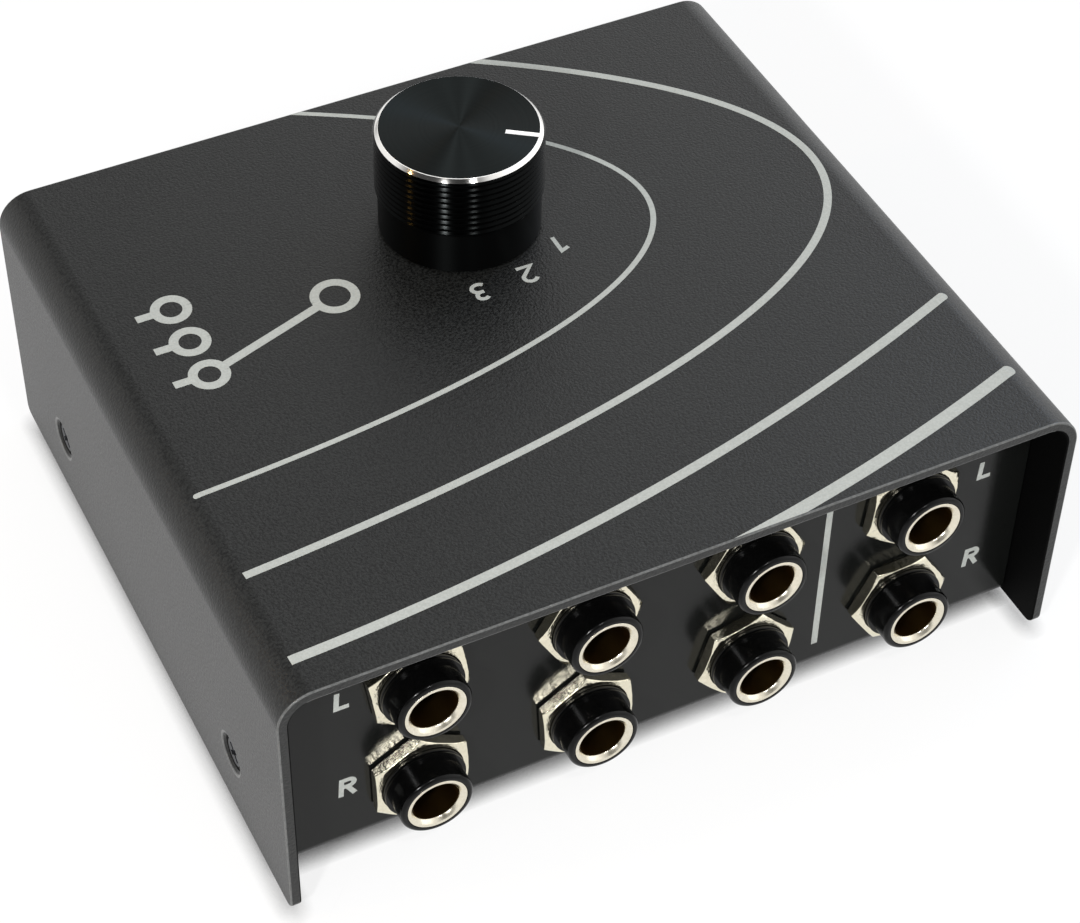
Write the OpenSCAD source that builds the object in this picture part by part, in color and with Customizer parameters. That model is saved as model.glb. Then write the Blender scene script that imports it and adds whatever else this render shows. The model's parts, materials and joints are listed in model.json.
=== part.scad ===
// Passive audio source selector: a knob joins one of three stereo pairs of jacks to a fourth pair.
// Millimetres, +Z up. A person who reads the dial stands at -Y with +X to the right; the jacks face +Y.
// The origin is the middle of the footprint, on the surface that the rubber feet stand on.

/* [Case] */
// Width across the cover's side walls
case_w = 114; // [106:1:140]
// Depth of the cover from its front edge to its rear edge
case_d = 102; // [98:1:130]
// Height of the cover above the lower edge of its side walls
case_h = 41; // [39:1:60]
// Sheet thickness of the cover
cover_t = 1.5; // [1.2:0.1:1.8]
// Outer radius of the cover's two long bends
cover_bend_r = 5; // [3:0.5:7]
// Rounding of the side walls' lower corners
wall_corner_r = 1.5; // [0.5:0.5:3]
// Sheet thickness of the chassis
chassis_t = 1.2; // [1:0.1:1.5]
// Outer radius of the chassis bends
chassis_bend_r = 2; // [1.7:0.1:3]
// Setback of the rear panel from the cover's rear edge
rear_setback = 7; // [6.5:0.5:12]
// Setback of the front panel from the cover's front edge
front_setback = 2; // [1:0.5:6]
// Free room between the chassis and the cover
case_gap = 0.2; // [0.1:0.05:0.4]

/* [Feet] */
// Diameter of a rubber foot
foot_d = 9; // [6:0.5:12]
// Height of a rubber foot
foot_h = 2; // [1:0.5:5]
// Rounding of a foot's lower edge
foot_edge_r = 0.6; // [0.2:0.1:0.9]
// Distance from a foot's middle to the nearest edges of the chassis
foot_inset = 9; // [7:0.5:14]

/* [Cover screws] */
// Thread diameter of a cover screw
screw_d = 3; // [2:0.1:3.2]
// Head diameter of a cover screw
screw_head_d = 5.2; // [4:0.1:5.4]
// Length of a cover screw, head included
screw_len = 6; // [4:0.5:10]
// Depth of the screw head under the cover's face
screw_sink = 0.45; // [0:0.05:0.5]
// Depth of the cross recess
screw_recess_depth = 0.9; // [0.6:0.1:1.2]
// Width of a cross recess wing
screw_recess_w = 0.7; // [0.5:0.1:0.9]
// Distance of the screws from the case's middle, to the front and to the rear
screw_y = 32; // [26:1:36]
// Height of the screws above the cover's lower edge
screw_z = 10.7; // [8:0.1:14]
// Width of a screw tab of the chassis
tab_w = 12; // [9:0.5:16]
// Height of a screw tab of the chassis
tab_h = 16; // [15:0.5:20]

/* [Jacks] */
// Distance between jack columns
jack_pitch_x = 24; // [20:0.5:26]
// Distance between the two jack rows
jack_pitch_z = 18.5; // [17:0.5:20]
// Height of the lower jack row above the underside of the chassis
jack_low_z = 9.8; // [9.2:0.1:11]
// Bore that takes the plug
plug_bore_d = 6.5; // [6.4:0.05:6.8]
// Length of the plug's shank that the jack has to hold
plug_len = 31; // [29:0.5:33]
// Outer diameter of the metal sleeve ring
sleeve_d = 8.5; // [8:0.1:9]
// Length of the metal sleeve ring
sleeve_len = 5; // [4:0.1:5.2]
// Depth of the flared mouth of the metal sleeve ring
sleeve_flare = 0.55; // [0.3:0.05:0.7]
// Diameter of the plain nose
nose_d = 10.3; // [9.8:0.1:10.8]
// Distance from the rear panel's face to the face of the nose
nose_reach = 6.5; // [6.2:0.1:8]
// Rounding of the nose's outer edge
nose_edge_r = 0.6; // [0.3:0.1:0.7]
// Outside diameter of the jack's thread
thread_d = 11.4; // [11:0.1:12.2]
// Distance from the rear panel's face to the end of the thread
thread_reach = 2.9; // [2.7:0.1:4.6]
// Thread pitch
thread_pitch = 0.75; // [0.5:0.05:1]
// Depth of the thread
thread_depth = 0.3; // [0.2:0.05:0.4]
// Width and height of the jack's body behind the panel
jack_body_w = 15; // [14:0.5:16]
// Width and height of the chamber in the jack's body
jack_chamber_w = 9; // [8.8:0.1:10]
// Thickness of the wall behind the chamber
jack_rear_wall = 1.7; // [1.2:0.1:2.5]
// Free room past the tip of a plug that is pushed home
plug_spare = 1; // [0.5:0.1:2]
// Width across the flats of a jack nut
jack_nut_af = 13; // [12.9:0.1:14.5]
// Thickness of a jack nut, its collar included
jack_nut_t = 2; // [1.6:0.1:2.6]
// Height of the round collar under a jack nut
jack_nut_collar = 0.3; // [0.2:0.05:0.35]
// Thickness of the contact strips
contact_t = 0.5; // [0.4:0.05:0.6]
// Width of the sleeve's contact strip
sleeve_lug_w = 2.2; // [1.8:0.1:2.6]
// Width of the tip spring
tip_spring_w = 3; // [2.4:0.1:3.4]
// Length of the solder lugs behind the jack's body
lug_len = 5; // [4:0.5:7]
// Depth at which the tip spring grips the plug, from the face of the nose
tip_grip_depth = 26.3; // [25:0.1:27]
// Distance from the plug's axis to the grip of the tip spring
tip_grip_r = 2.45; // [2.4:0.05:2.7]

/* [Switch] */
// Distance of the switch's axis in front of the case's middle
switch_front = 19; // [16:0.5:24]
// Diameter of the shaft
shaft_d = 6; // [5.5:0.1:6.4]
// Diameter of the shaft's lower journal
journal_d = 4; // [3:0.1:4.6]
// Depth of the flat at the top of the shaft
shaft_flat = 1.5; // [1:0.1:2]
// Thread diameter of the mounting bushing
bushing_d = 9; // [8.4:0.1:10]
// Height of the bushing above the cover
bushing_reach = 6; // [5:0.5:7]
// Diameter of the bushing's flange
flange_d = 20; // [18:0.5:24]
// Thickness of the bushing's flange
flange_t = 1.5; // [1:0.1:2]
// Diameter of the locating pin on the flange
key_d = 2.4; // [2:0.1:3]
// Distance of the locating pin from the axis
key_r = 7.5; // [7:0.1:8]
// Outer diameter of the lock washer
washer_d = 13; // [11.5:0.5:14]
// Thickness of the lock washer
washer_t = 0.6; // [0.4:0.1:0.8]
// Width across the flats of the switch nut
switch_nut_af = 12; // [11.4:0.1:12.4]
// Thickness of the switch nut
switch_nut_t = 2; // [1.6:0.1:2.4]
// Outer diameter of the switch housing
housing_d = 26; // [25:0.5:28]
// Height of the switch housing
housing_h = 16; // [15:0.5:18]
// Wall of the switch housing
housing_wall = 1.6; // [1.2:0.1:1.8]
// Thickness of the contact wafer
wafer_t = 1.6; // [1.2:0.1:2]
// Diameter of the rotor
rotor_d = 20; // [19:0.5:21]
// Height of the rotor
rotor_h = 5; // [4.6:0.1:5.6]
// Height of the rotor above the contact wafer
rotor_lift = 5; // [4.5:0.1:5.5]
// Angle between two positions of the switch
index_step = 30; // [30:1:34]
// Depth of a detent notch in the rotor's rim
notch_depth = 0.4; // [0.3:0.05:0.5]
// Diameter of the detent ball
ball_d = 3; // [2.6:0.1:3.2]
// Length of the detent spring
detent_spring_len = 3.6; // [3:0.1:4.5]
// Wire diameter of the detent spring
detent_wire_d = 0.4; // [0.3:0.05:0.45]
// Thickness of the retaining clip
clip_t = 0.8; // [0.6:0.1:1]
// Outer diameter of the retaining clip
clip_d = 10; // [9:0.5:11]
// Distance of the throw contacts from the axis
throw_r = 8.5; // [8.3:0.1:9]
// Diameter of a throw contact's head
throw_head_d = 2.6; // [2.2:0.1:2.8]
// Middle radius of the common contacts
common_r = 5.4; // [5.2:0.1:5.7]
// Width of a common contact
common_w = 1.6; // [1.2:0.1:1.8]
// Diameter of the terminal pins
pin_d = 1.2; // [1:0.1:1.4]
// Length of the terminal pins under the wafer
pin_len = 4.9; // [4:0.1:6]
// Length of a wiper's feet along the rotor's turn
wiper_w = 1.6; // [1.2:0.1:2]

/* [Wires] */
// Outer diameter of a signal wire
wire_d = 1.2; // [1:0.1:1.4]
// Diameter of the ground bus wire
bus_d = 1; // [0.8:0.1:1.2]

/* [Knob] */
// Diameter of the knob's grooved grip
knob_d = 23.6; // [21:0.1:26]
// Diameter of the knob's plain skirt
knob_skirt_d = 22.8; // [20.5:0.1:23]
// Height of the knob
knob_h = 16.2; // [15:0.1:20]
// Free room between the knob and the cover
knob_gap = 0.5; // [0.3:0.1:1]
// Width of the chamfer on the knob's top edge
knob_rim = 0.8; // [0.3:0.05:1]
// Distance from the chamfer to the first ring groove
groove_first = 0.6; // [0.5:0.05:1]
// Number of ring grooves round the grip
groove_count = 9; // [5:1:10]
// Distance between ring grooves
groove_pitch = 0.95; // [0.8:0.05:1]
// Depth of a ring groove
groove_depth = 0.35; // [0.2:0.05:0.4]
// Wall of the knob round its insert and its hollow
knob_wall = 2.2; // [1.6:0.1:2.4]
// Outer diameter of the knob's insert
insert_d = 12; // [11:0.5:13]
// Length of the knob's insert
insert_len = 7; // [6:0.5:7.2]
// Width of the pointer line
pointer_w = 0.8; // [0.5:0.1:1.2]
// Depth of the pointer line
pointer_depth = 0.25; // [0.15:0.05:0.4]
// Distance from the axis to the inner end of the pointer line
pointer_from = 6.4; // [5:0.1:8]
// Direction of the pointer line at position 1, from +X towards +Y
pointer_angle = 145; // [120:1:160]

/* [Hidden] */
// Smoothness of true curves
$fn = 96;
// Overlap that keeps cuts clean
cut = 0.5;
// Overlap that joins two shapes of one piece
lap = 0.05;
// Radial room of a running or sliding round fit
fit = 0.05;
// Radial room of a hole round a fixed piece
hole_gap = 0.2;
// Gap that keeps soldered or resting faces apart
touch = 0.03;

// Heights of the case
base_z = foot_h;
top_z = base_z + case_h;
cover_in_z = top_z - cover_t;
floor_z = base_z + chassis_t;
chassis_w = case_w - 2 * (cover_t + case_gap);
panel_top_z = cover_in_z - case_gap;
panel_y = case_d / 2 - rear_setback;
front_y = front_setback - case_d / 2;
bend_in_r = cover_bend_r - cover_t;
screw_head_h = (screw_head_d - screw_d) / 2;

// Jack columns from +X to -X, with the output pair last, and rows from the upper to the lower
COLUMNS = ["in3", "in2", "in1", "out"];
ROWS = ["left", "right"];
function column_x(c) = ((len(COLUMNS) - 1) / 2 - c) * jack_pitch_x;
function row_z(r) = base_z + jack_low_z + (1 - r) * jack_pitch_z;
// Turn of each nut as it was tightened, by row and column
nut_turn = [[52, 30, 29, 6], [59, 57, 16, 27]];
sleeve_end = nose_reach - sleeve_len;
// Radial room round the plug behind the sleeve ring
throat_room = 0.35;
throat_d = plug_bore_d + 2 * throat_room;
body_rear = nose_reach - plug_len - plug_spare - jack_rear_wall;
chamber_rear = body_rear + jack_rear_wall;
lug_end = body_rear - lug_len;
lug_hole_d = 1.2;
sleeve_lug_r = sleeve_d / 2 - contact_t - lap;
// Distance of the tip spring's straight end from the chamber's wall
tip_lug_inset = 0.9;
tip_lug_r = jack_chamber_w / 2 - tip_lug_inset;
// Straight run of the tip spring inside the chamber, and the reach of its free end
tip_straight = 1;
tip_flare = 2;
tip_grip = nose_reach - tip_grip_depth;

// Heights of the switch, from the cover down
switch_y = -switch_front;
flange_z = cover_in_z - flange_t;
wafer_top_z = flange_z - housing_h;
wafer_z = wafer_top_z - wafer_t;
pin_tip_z = wafer_z - pin_len;
rotor_z = wafer_top_z + rotor_lift;
housing_in_d = housing_d - 2 * housing_wall;
housing_top_z = flange_z - housing_wall;
// Free height over the retaining clip, and the depth of its groove
clip_room = 0.4;
clip_groove_depth = 0.5;
clip_z = housing_top_z - clip_room - clip_t;
clip_groove_d = shaft_d - 2 * clip_groove_depth;
clip_mouth = clip_groove_d / 2;
// Length of the shaft's journal under the wafer
journal_reach = 1;
contact_head_t = 0.4;
wiper_t = 0.5;
wiper_gap = 0.2;
wiper_overhang = 1;
wiper_end_r = throw_r + wiper_overhang;
// Angle of the first throw contact, of the common pin from it, and of the common contact's spare ends
first_throw = 120;
common_pin_turn = 30;
common_margin = 15;
ball_r_at = rotor_d / 2 + fit + ball_d / 2;
spring_from = ball_r_at + ball_d / 2 + touch;
pocket_d = ball_d + 2 * fit;
pocket_end = spring_from + detent_spring_len + touch;
boss_w = pocket_d + 2 * housing_wall;
spring_turns = 5;
spring_steps = 12;
spring_sides = 6;
spring_room = 0.15;
spring_coil_r = pocket_d / 2 - detent_wire_d / 2 - spring_room;
notch_count = 12;
notch_r = ball_d / 2 + hole_gap;

// Heights of the knob
knob_z = top_z + knob_gap;
knob_top_z = knob_z + knob_h;
knob_hollow_d = knob_skirt_d - 2 * knob_wall;
// Free height between the bushing and the insert, and the insert's closed end over the shaft
insert_room = 0.5;
insert_cap_t = 0.6;
insert_z = top_z + bushing_reach + insert_room;
insert_flange_t = 1;
insert_flange_w = 1;
shaft_top_z = insert_z + insert_len - insert_cap_t;
flat_z = top_z + bushing_reach + hole_gap;
// Half width of a ring groove's mouth, as a share of the pitch
groove_half = 0.3 * groove_pitch;
grip_h = knob_rim + groove_first + (groove_count - 1 / 2) * groove_pitch;

// Wire routes: each is one curve from a tip lug to a terminal pin
wire_sides = 8;
wire_rings = 20;
// Reach of the curve's first handle, by row
wire_lead = [12, 14];
// Rise of the first handle's end above the lug, by row and column
wire_lead_rise = [[-8, -8, -8, -8], [0, -2, -4, 4]];
// Drop of the second handle's end under the pin, by row and column
wire_end_drop = [[6.5, 6.5, 6.5, 6.5], [5.5, 17.5, 11.5, 5.5]];
// Set-off of the second handle towards the jacks, by row
wire_end_back = [3, 0];
// Place of the ground bus along the sleeve lugs, from their ends
bus_inset = lug_len / 4;

JACK_NAMES = [for (r = [0, 1]) for (c = [0 : 3]) str(COLUMNS[c], "_", ROWS[r])];
FIXED_NODES = ["cover", "chassis", "cover_screws", "rubber_feet", "jack_nuts"];
SWITCH_NODES = [
    "switch_bushing", "lock_washer", "switch_nut", "switch_housing", "contact_wafer",
    "throw_terminals", "common_contacts", "detent_ball", "detent_spring", "ground_bus"
];
TURNING_NODES = ["switch_shaft", "shaft_clip", "switch_rotor", "rotor_wipers", "knob_insert", "knob_shell"];
JACK_KINDS = ["jack_body_", "jack_sleeve_", "tip_spring_", "signal_wire_"];

// Shapes that repeat

// Rectangle round the origin in X, from 0 up in Y, whose top corners are rounded
module round_top(w, h, r) {
    translate([-w / 2, 0])
        square([w, h - r]);
    translate([r - w / 2, 0])
        square([w - 2 * r, h]);
    for (side = [-1, 1])
        translate([side * (w / 2 - r), h - r])
            circle(r);
}

// Hexagon prism on the XY plane with rounded-off corners on its upper face and, where one is asked for, a collar below
module hex_nut(af, t, hole_d, collar_h = 0) {
    corner_d = af * 2 / sqrt(3);
    chamfer_h = (corner_d - af) / 4;
    cone_d = corner_d + 2 * lap;
    difference() {
        union() {
            intersection() {
                translate([0, 0, collar_h])
                    rotate(30)
                        cylinder(d = corner_d, h = t - collar_h, $fn = 6);
                union() {
                    cylinder(d = cone_d, h = t - chamfer_h);
                    translate([0, 0, t - chamfer_h])
                        cylinder(d1 = cone_d, d2 = cone_d - 4 * chamfer_h, h = chamfer_h);
                }
            }
            if (collar_h > 0)
                cylinder(d = af - 2 * collar_h, h = collar_h + lap);
        }
        translate([0, 0, -cut])
            cylinder(d = hole_d, h = t + 2 * cut);
    }
}

// Places its children on a jack's axis, with their +Z out of the rear panel's face and their +Y down
module on_jack(r, c) {
    translate([column_x(c), panel_y, row_z(r)])
        rotate([-90, 0, 0])
            children();
}

// Places its children on the switch's axis
module on_switch() {
    translate([0, switch_y, 0])
        children();
}

// Places its children on both side walls, with their +Z out of the wall
module on_screws() {
    for (side = [-1, 1])
        for (end = [-1, 1])
            translate([side * (case_w / 2 - screw_sink), end * screw_y, base_z + screw_z])
                rotate([0, side * 90, 0])
                    children();
}

// Point of a cubic curve with four handles
function curve_point(p, t) =
    pow(1 - t, 3) * p[0] + 3 * pow(1 - t, 2) * t * p[1] + 3 * (1 - t) * t * t * p[2] + pow(t, 3) * p[3];
function unit(v) = v / norm(v);
// Ring of points round a path's point, square to its direction
function ring(at, along, side, r, n) =
    let (u = unit(side - (side * along) * along), v = cross(along, u))
    [for (k = [0 : n - 1]) at + r * (cos(360 * k / n) * u + sin(360 * k / n) * v)];

// Round tube of one piece along a path whose first and last directions are given
module tube(path, first, last, side, r, n) {
    count = len(path);
    ways = [
        for (i = [0 : count - 1])
            i == 0 ? first : i == count - 1 ? last : unit(path[i + 1] - path[i - 1])
    ];
    points = [for (i = [0 : count - 1]) each ring(path[i], ways[i], side, r, n)];
    walls = [
        for (i = [0 : count - 2])
            for (k = [0 : n - 1])
                let (a = i * n + k, b = i * n + (k + 1) % n)
                each [[a, a + n, b], [b, a + n, b + n]]
    ];
    near = [for (k = [1 : n - 2]) [0, k, k + 1]];
    far = [for (k = [1 : n - 2]) [(count - 1) * n, (count - 1) * n + k + 1, (count - 1) * n + k]];
    polyhedron(points, concat(walls, near, far), convexity = 6);
}

// Case

// Folded cover: top and two side walls, open at the front, the rear and below
module cover() {
    color("dimgray")
        difference() {
            intersection() {
                translate([0, case_d / 2, base_z])
                    rotate([90, 0, 0])
                        linear_extrude(case_d)
                            difference() {
                                round_top(case_w, case_h, cover_bend_r);
                                translate([0, -cut])
                                    round_top(case_w - 2 * cover_t, case_h - cover_t + cut, bend_in_r);
                            }
                translate([-case_w / 2 - cut, 0, top_z])
                    rotate([90, 0, 90])
                        linear_extrude(case_w + 2 * cut)
                            mirror([0, 1])
                                round_top(case_d, case_h, wall_corner_r);
            }
            on_screws()
                screw_hole();
            on_switch() {
                translate([0, 0, cover_in_z - cut])
                    cylinder(d = bushing_d + 2 * hole_gap, h = cover_t + 2 * cut);
                translate([0, key_r, cover_in_z - cut])
                    cylinder(d = key_d + 2 * hole_gap, h = cover_t + 2 * cut);
            }
        }
}

// Hole and countersink for one cover screw, cut into the cover from the wall's face
module screw_hole() {
    mouth_h = screw_head_h + screw_sink + cut;
    translate([0, 0, -cover_t - cut])
        cylinder(d = screw_d + 2 * hole_gap, h = cover_t + 2 * cut);
    translate([0, 0, -screw_head_h])
        cylinder(d1 = screw_d + 2 * fit, d2 = screw_d + 2 * (fit + mouth_h), h = mouth_h);
}

// Folded chassis: bottom, front panel, rear panel with the jack holes, and four screw tabs
module chassis() {
    bottom_d = panel_y - front_y;
    color("slategray")
        difference() {
            union() {
                intersection() {
                    translate([-chassis_w / 2, 0, 0])
                        rotate([90, 0, 90])
                            linear_extrude(chassis_w)
                                chassis_profile(bottom_d);
                    translate([0, panel_y + cut, base_z])
                        rotate([90, 0, 0])
                            linear_extrude(bottom_d + 2 * cut)
                                round_top(chassis_w, panel_top_z - base_z, cover_bend_r);
                }
                for (side = [-1, 1])
                    for (end = [-1, 1])
                        translate([side * (chassis_w - chassis_t) / 2, end * screw_y, base_z])
                            rotate([90, 0, 90])
                                translate([0, 0, -chassis_t / 2])
                                    linear_extrude(chassis_t)
                                        round_top(tab_w, tab_h, chassis_bend_r);
            }
            for (r = [0, 1])
                for (c = [0 : 3])
                    on_jack(r, c)
                        translate([0, 0, -chassis_t - cut])
                            cylinder(d = thread_d + 2 * hole_gap, h = chassis_t + 2 * cut);
            on_screws()
                translate([0, 0, -screw_len])
                    cylinder(d = screw_d + 2 * fit, h = screw_len);
        }
}

// Side view of the folded chassis sheet, in the YZ plane
module chassis_profile(bottom_d) {
    in_r = chassis_bend_r - chassis_t;
    translate([(panel_y + front_y) / 2, panel_top_z])
        mirror([0, 1])
            difference() {
                round_top(bottom_d, panel_top_z - base_z, chassis_bend_r);
                translate([0, -cut])
                    round_top(bottom_d - 2 * chassis_t, panel_top_z - floor_z + cut, in_r);
            }
}

// Four countersunk screws with cross recesses
module cover_screws() {
    color("black")
        on_screws()
            difference() {
                union() {
                    translate([0, 0, -screw_head_h])
                        cylinder(d1 = screw_d, d2 = screw_head_d, h = screw_head_h);
                    translate([0, 0, -screw_len])
                        cylinder(d = screw_d, h = screw_len - screw_head_h + lap);
                }
                for (turn = [0, 90])
                    rotate(turn + 45)
                        translate([-screw_d / 2, -screw_recess_w / 2, -screw_recess_depth])
                            cube([screw_d, screw_recess_w, screw_recess_depth + cut]);
            }
}

// Four stick-on feet under the chassis
module rubber_feet() {
    foot_x = chassis_w / 2 - foot_inset;
    color("black")
        for (x = [-foot_x, foot_x])
            for (y = [front_y + foot_inset, panel_y - foot_inset])
                translate([x, y, 0])
                    rotate_extrude() {
                        translate([0, foot_edge_r])
                            square([foot_d / 2, foot_h - foot_edge_r]);
                        square([foot_d / 2 - foot_edge_r, foot_h]);
                        translate([foot_d / 2 - foot_edge_r, foot_edge_r])
                            circle(foot_edge_r);
                    }
}

// Jacks

// Moulded jack body with its threaded bush, plain nose, chamber and lug slots
module jack_body(r, c) {
    ridge_count = floor((thread_reach - jack_nut_t) / thread_pitch);
    color([0.07, 0.07, 0.07])
        on_jack(r, c)
            difference() {
                union() {
                    translate([-jack_body_w / 2, -jack_body_w / 2, body_rear])
                        cube([jack_body_w, jack_body_w, -chassis_t - body_rear]);
                    translate([0, 0, -chassis_t - cut])
                        cylinder(d = thread_d, h = thread_reach + chassis_t + cut);
                    rotate_extrude() {
                        square([nose_d / 2, nose_reach - nose_edge_r]);
                        square([nose_d / 2 - nose_edge_r, nose_reach]);
                        translate([nose_d / 2 - nose_edge_r, nose_reach - nose_edge_r])
                            circle(nose_edge_r);
                    }
                }
                for (k = [0 : 1 : ridge_count - 1])
                    translate([0, 0, thread_reach - thread_pitch * (k + 0.5)])
                        thread_groove();
                translate([0, 0, sleeve_end])
                    cylinder(d = sleeve_d + 2 * fit, h = sleeve_len + cut);
                translate([0, 0, -chassis_t - cut])
                    cylinder(d = throat_d, h = sleeve_end + chassis_t + 2 * cut);
                translate([-jack_chamber_w / 2, -jack_chamber_w / 2, chamber_rear])
                    cube([jack_chamber_w, jack_chamber_w, -chassis_t - chamber_rear]);
                lug_slot(sleeve_lug_w, -sleeve_lug_r - contact_t, sleeve_end + cut);
                lug_slot(tip_spring_w, tip_lug_r, chamber_rear + cut);
            }
}

// One groove between two ridges of the jack's thread
module thread_groove() {
    rotate_extrude()
        polygon([
            [thread_d / 2 - thread_depth, 0],
            [thread_d / 2 + thread_depth, thread_pitch / 2],
            [thread_d / 2 + thread_depth, -thread_pitch / 2]
        ]);
}

// Slot for a contact strip, from behind the jack's body forward
module lug_slot(w, y, z_end) {
    translate([-w / 2 - hole_gap, y - hole_gap, body_rear - cut])
        cube([w + 2 * hole_gap, contact_t + 2 * hole_gap, z_end - body_rear + cut]);
}

// Metal sleeve: the ring that shows in the nose, and its strip back to the solder lug
module jack_sleeve(r, c) {
    color("silver")
        on_jack(r, c)
            difference() {
                union() {
                    translate([0, 0, sleeve_end])
                        cylinder(d = sleeve_d, h = sleeve_len);
                    translate([-sleeve_lug_w / 2, -sleeve_lug_r - contact_t, lug_end])
                        cube([sleeve_lug_w, contact_t, sleeve_end - lug_end + cut]);
                }
                translate([0, 0, sleeve_end - cut])
                    cylinder(d = plug_bore_d, h = sleeve_len + 2 * cut);
                translate([0, 0, nose_reach - sleeve_flare])
                    cylinder(d1 = plug_bore_d, d2 = plug_bore_d + 2 * (sleeve_flare + cut), h = sleeve_flare + cut);
                translate([0, 0, lug_end + lug_len / 2])
                    rotate([90, 0, 0])
                        cylinder(d = lug_hole_d, h = sleeve_d);
            }
}

// Leaf that grips the plug's tip, with its solder lug behind the body
module tip_spring(r, c) {
    free_end = 2 * tip_grip - chamber_rear + tip_flare;
    color("goldenrod")
        on_jack(r, c)
            difference() {
                rotate([90, 0, 90])
                    linear_extrude(tip_spring_w, center = true)
                        polygon([
                            [tip_lug_r, lug_end],
                            [tip_lug_r + contact_t, lug_end],
                            [tip_lug_r + contact_t, chamber_rear + tip_straight],
                            [tip_grip_r + contact_t, tip_grip],
                            [tip_lug_r + contact_t / 2, free_end],
                            [tip_lug_r - contact_t / 2, free_end],
                            [tip_grip_r, tip_grip],
                            [tip_lug_r, chamber_rear + tip_straight]
                        ]);
                translate([0, 0, lug_end + lug_len / 2])
                    rotate([-90, 0, 0])
                        cylinder(d = lug_hole_d, h = jack_body_w / 2);
            }
}

// Eight jack nuts, each at the turn where it was tightened
module jack_nuts() {
    color("gainsboro")
        for (r = [0, 1])
            for (c = [0 : 3])
                on_jack(r, c)
                    rotate(-nut_turn[r][c])
                        hex_nut(jack_nut_af, jack_nut_t, thread_d + 2 * fit, jack_nut_collar);
}

// Switch

// Mounting bushing with its flange and locating pin
module switch_bushing() {
    color("silver")
        on_switch()
            difference() {
                union() {
                    translate([0, 0, flange_z])
                        cylinder(d = flange_d, h = flange_t);
                    translate([0, 0, flange_z])
                        cylinder(d = bushing_d, h = top_z + bushing_reach - flange_z);
                    translate([0, key_r, flange_z])
                        cylinder(d = key_d, h = flange_t + cover_t - hole_gap);
                }
                translate([0, 0, flange_z - cut])
                    cylinder(d = shaft_d + 2 * fit, h = top_z + bushing_reach - flange_z + 2 * cut);
            }
}

// Lock washer between the cover and the switch nut
module lock_washer() {
    color("lightgray")
        on_switch()
            translate([0, 0, top_z])
                difference() {
                    cylinder(d = washer_d, h = washer_t);
                    translate([0, 0, -cut])
                        cylinder(d = bushing_d + 2 * hole_gap, h = washer_t + 2 * cut);
                }
}

// Nut that holds the switch in the cover, under the knob
module switch_nut() {
    color("gainsboro")
        on_switch()
            translate([0, 0, top_z + washer_t])
                hex_nut(switch_nut_af, switch_nut_t, bushing_d + 2 * fit);
}

// Round housing with the pocket for the detent spring and ball
module switch_housing() {
    color("saddlebrown")
        on_switch()
            difference() {
                union() {
                    translate([0, 0, wafer_top_z])
                        cylinder(d = housing_d, h = housing_h);
                    translate([0, -boss_w / 2, rotor_z + (rotor_h - boss_w) / 2])
                        cube([pocket_end + housing_wall, boss_w, boss_w]);
                }
                translate([0, 0, wafer_top_z - cut])
                    cylinder(d = housing_in_d, h = housing_h - housing_wall + cut);
                translate([0, 0, flange_z - housing_wall - cut])
                    cylinder(d = shaft_d + 4 * hole_gap, h = housing_wall + 2 * cut);
                translate([0, 0, rotor_z + rotor_h / 2])
                    rotate([0, 90, 0])
                        cylinder(d = pocket_d, h = pocket_end);
            }
}

// Phenolic disc that carries the contacts and the shaft's lower journal
module contact_wafer() {
    color("peru")
        on_switch()
            translate([0, 0, wafer_z])
                difference() {
                    cylinder(d = housing_d, h = wafer_t);
                    translate([0, 0, -cut])
                        cylinder(d = journal_d + 2 * fit, h = wafer_t + 2 * cut);
                    for (r = [0, 1])
                        for (c = [0 : 3])
                            translate([pin_xy(r, c)[0], pin_xy(r, c)[1], -cut])
                                cylinder(d = pin_d + 2 * fit, h = wafer_t + 2 * cut);
                }
}

// Place of a terminal pin on the wafer, from the switch's axis; the last column is the common contact
function pin_angle(r, c) =
    180 * r + first_throw + (c == 3 ? common_pin_turn : -index_step * (2 - c));
function pin_radius(c) = c == 3 ? common_r : throw_r;
function pin_xy(r, c) = pin_radius(c) * [cos(pin_angle(r, c)), sin(pin_angle(r, c))];

// Pin through the wafer, from a contact's head down to its solder tip
module terminal_pin(r, c) {
    translate([pin_xy(r, c)[0], pin_xy(r, c)[1], pin_tip_z])
        cylinder(d = pin_d, h = pin_len + wafer_t + contact_head_t / 2);
}

// Six riveted contacts, three for each channel
module throw_terminals() {
    color("gold")
        on_switch()
            for (r = [0, 1])
                for (c = [0 : 2]) {
                    terminal_pin(r, c);
                    translate([pin_xy(r, c)[0], pin_xy(r, c)[1], wafer_top_z])
                        cylinder(d = throw_head_d, h = contact_head_t);
                }
}

// Two arc-shaped contacts that the wipers never leave
module common_contacts() {
    arc = 2 * index_step + common_pin_turn + 2 * common_margin;
    color("gold")
        on_switch()
            for (r = [0, 1]) {
                terminal_pin(r, 3);
                translate([0, 0, wafer_top_z])
                    rotate(180 * r + first_throw - 2 * index_step - common_margin)
                        rotate_extrude(angle = arc)
                            translate([common_r - common_w / 2, 0])
                                square([common_w, contact_head_t]);
            }
}

// Ball of the click stop, held out on the crest between two notches
module detent_ball() {
    color("silver")
        on_switch()
            translate([ball_r_at, 0, rotor_z + rotor_h / 2])
                sphere(d = ball_d);
}

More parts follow.
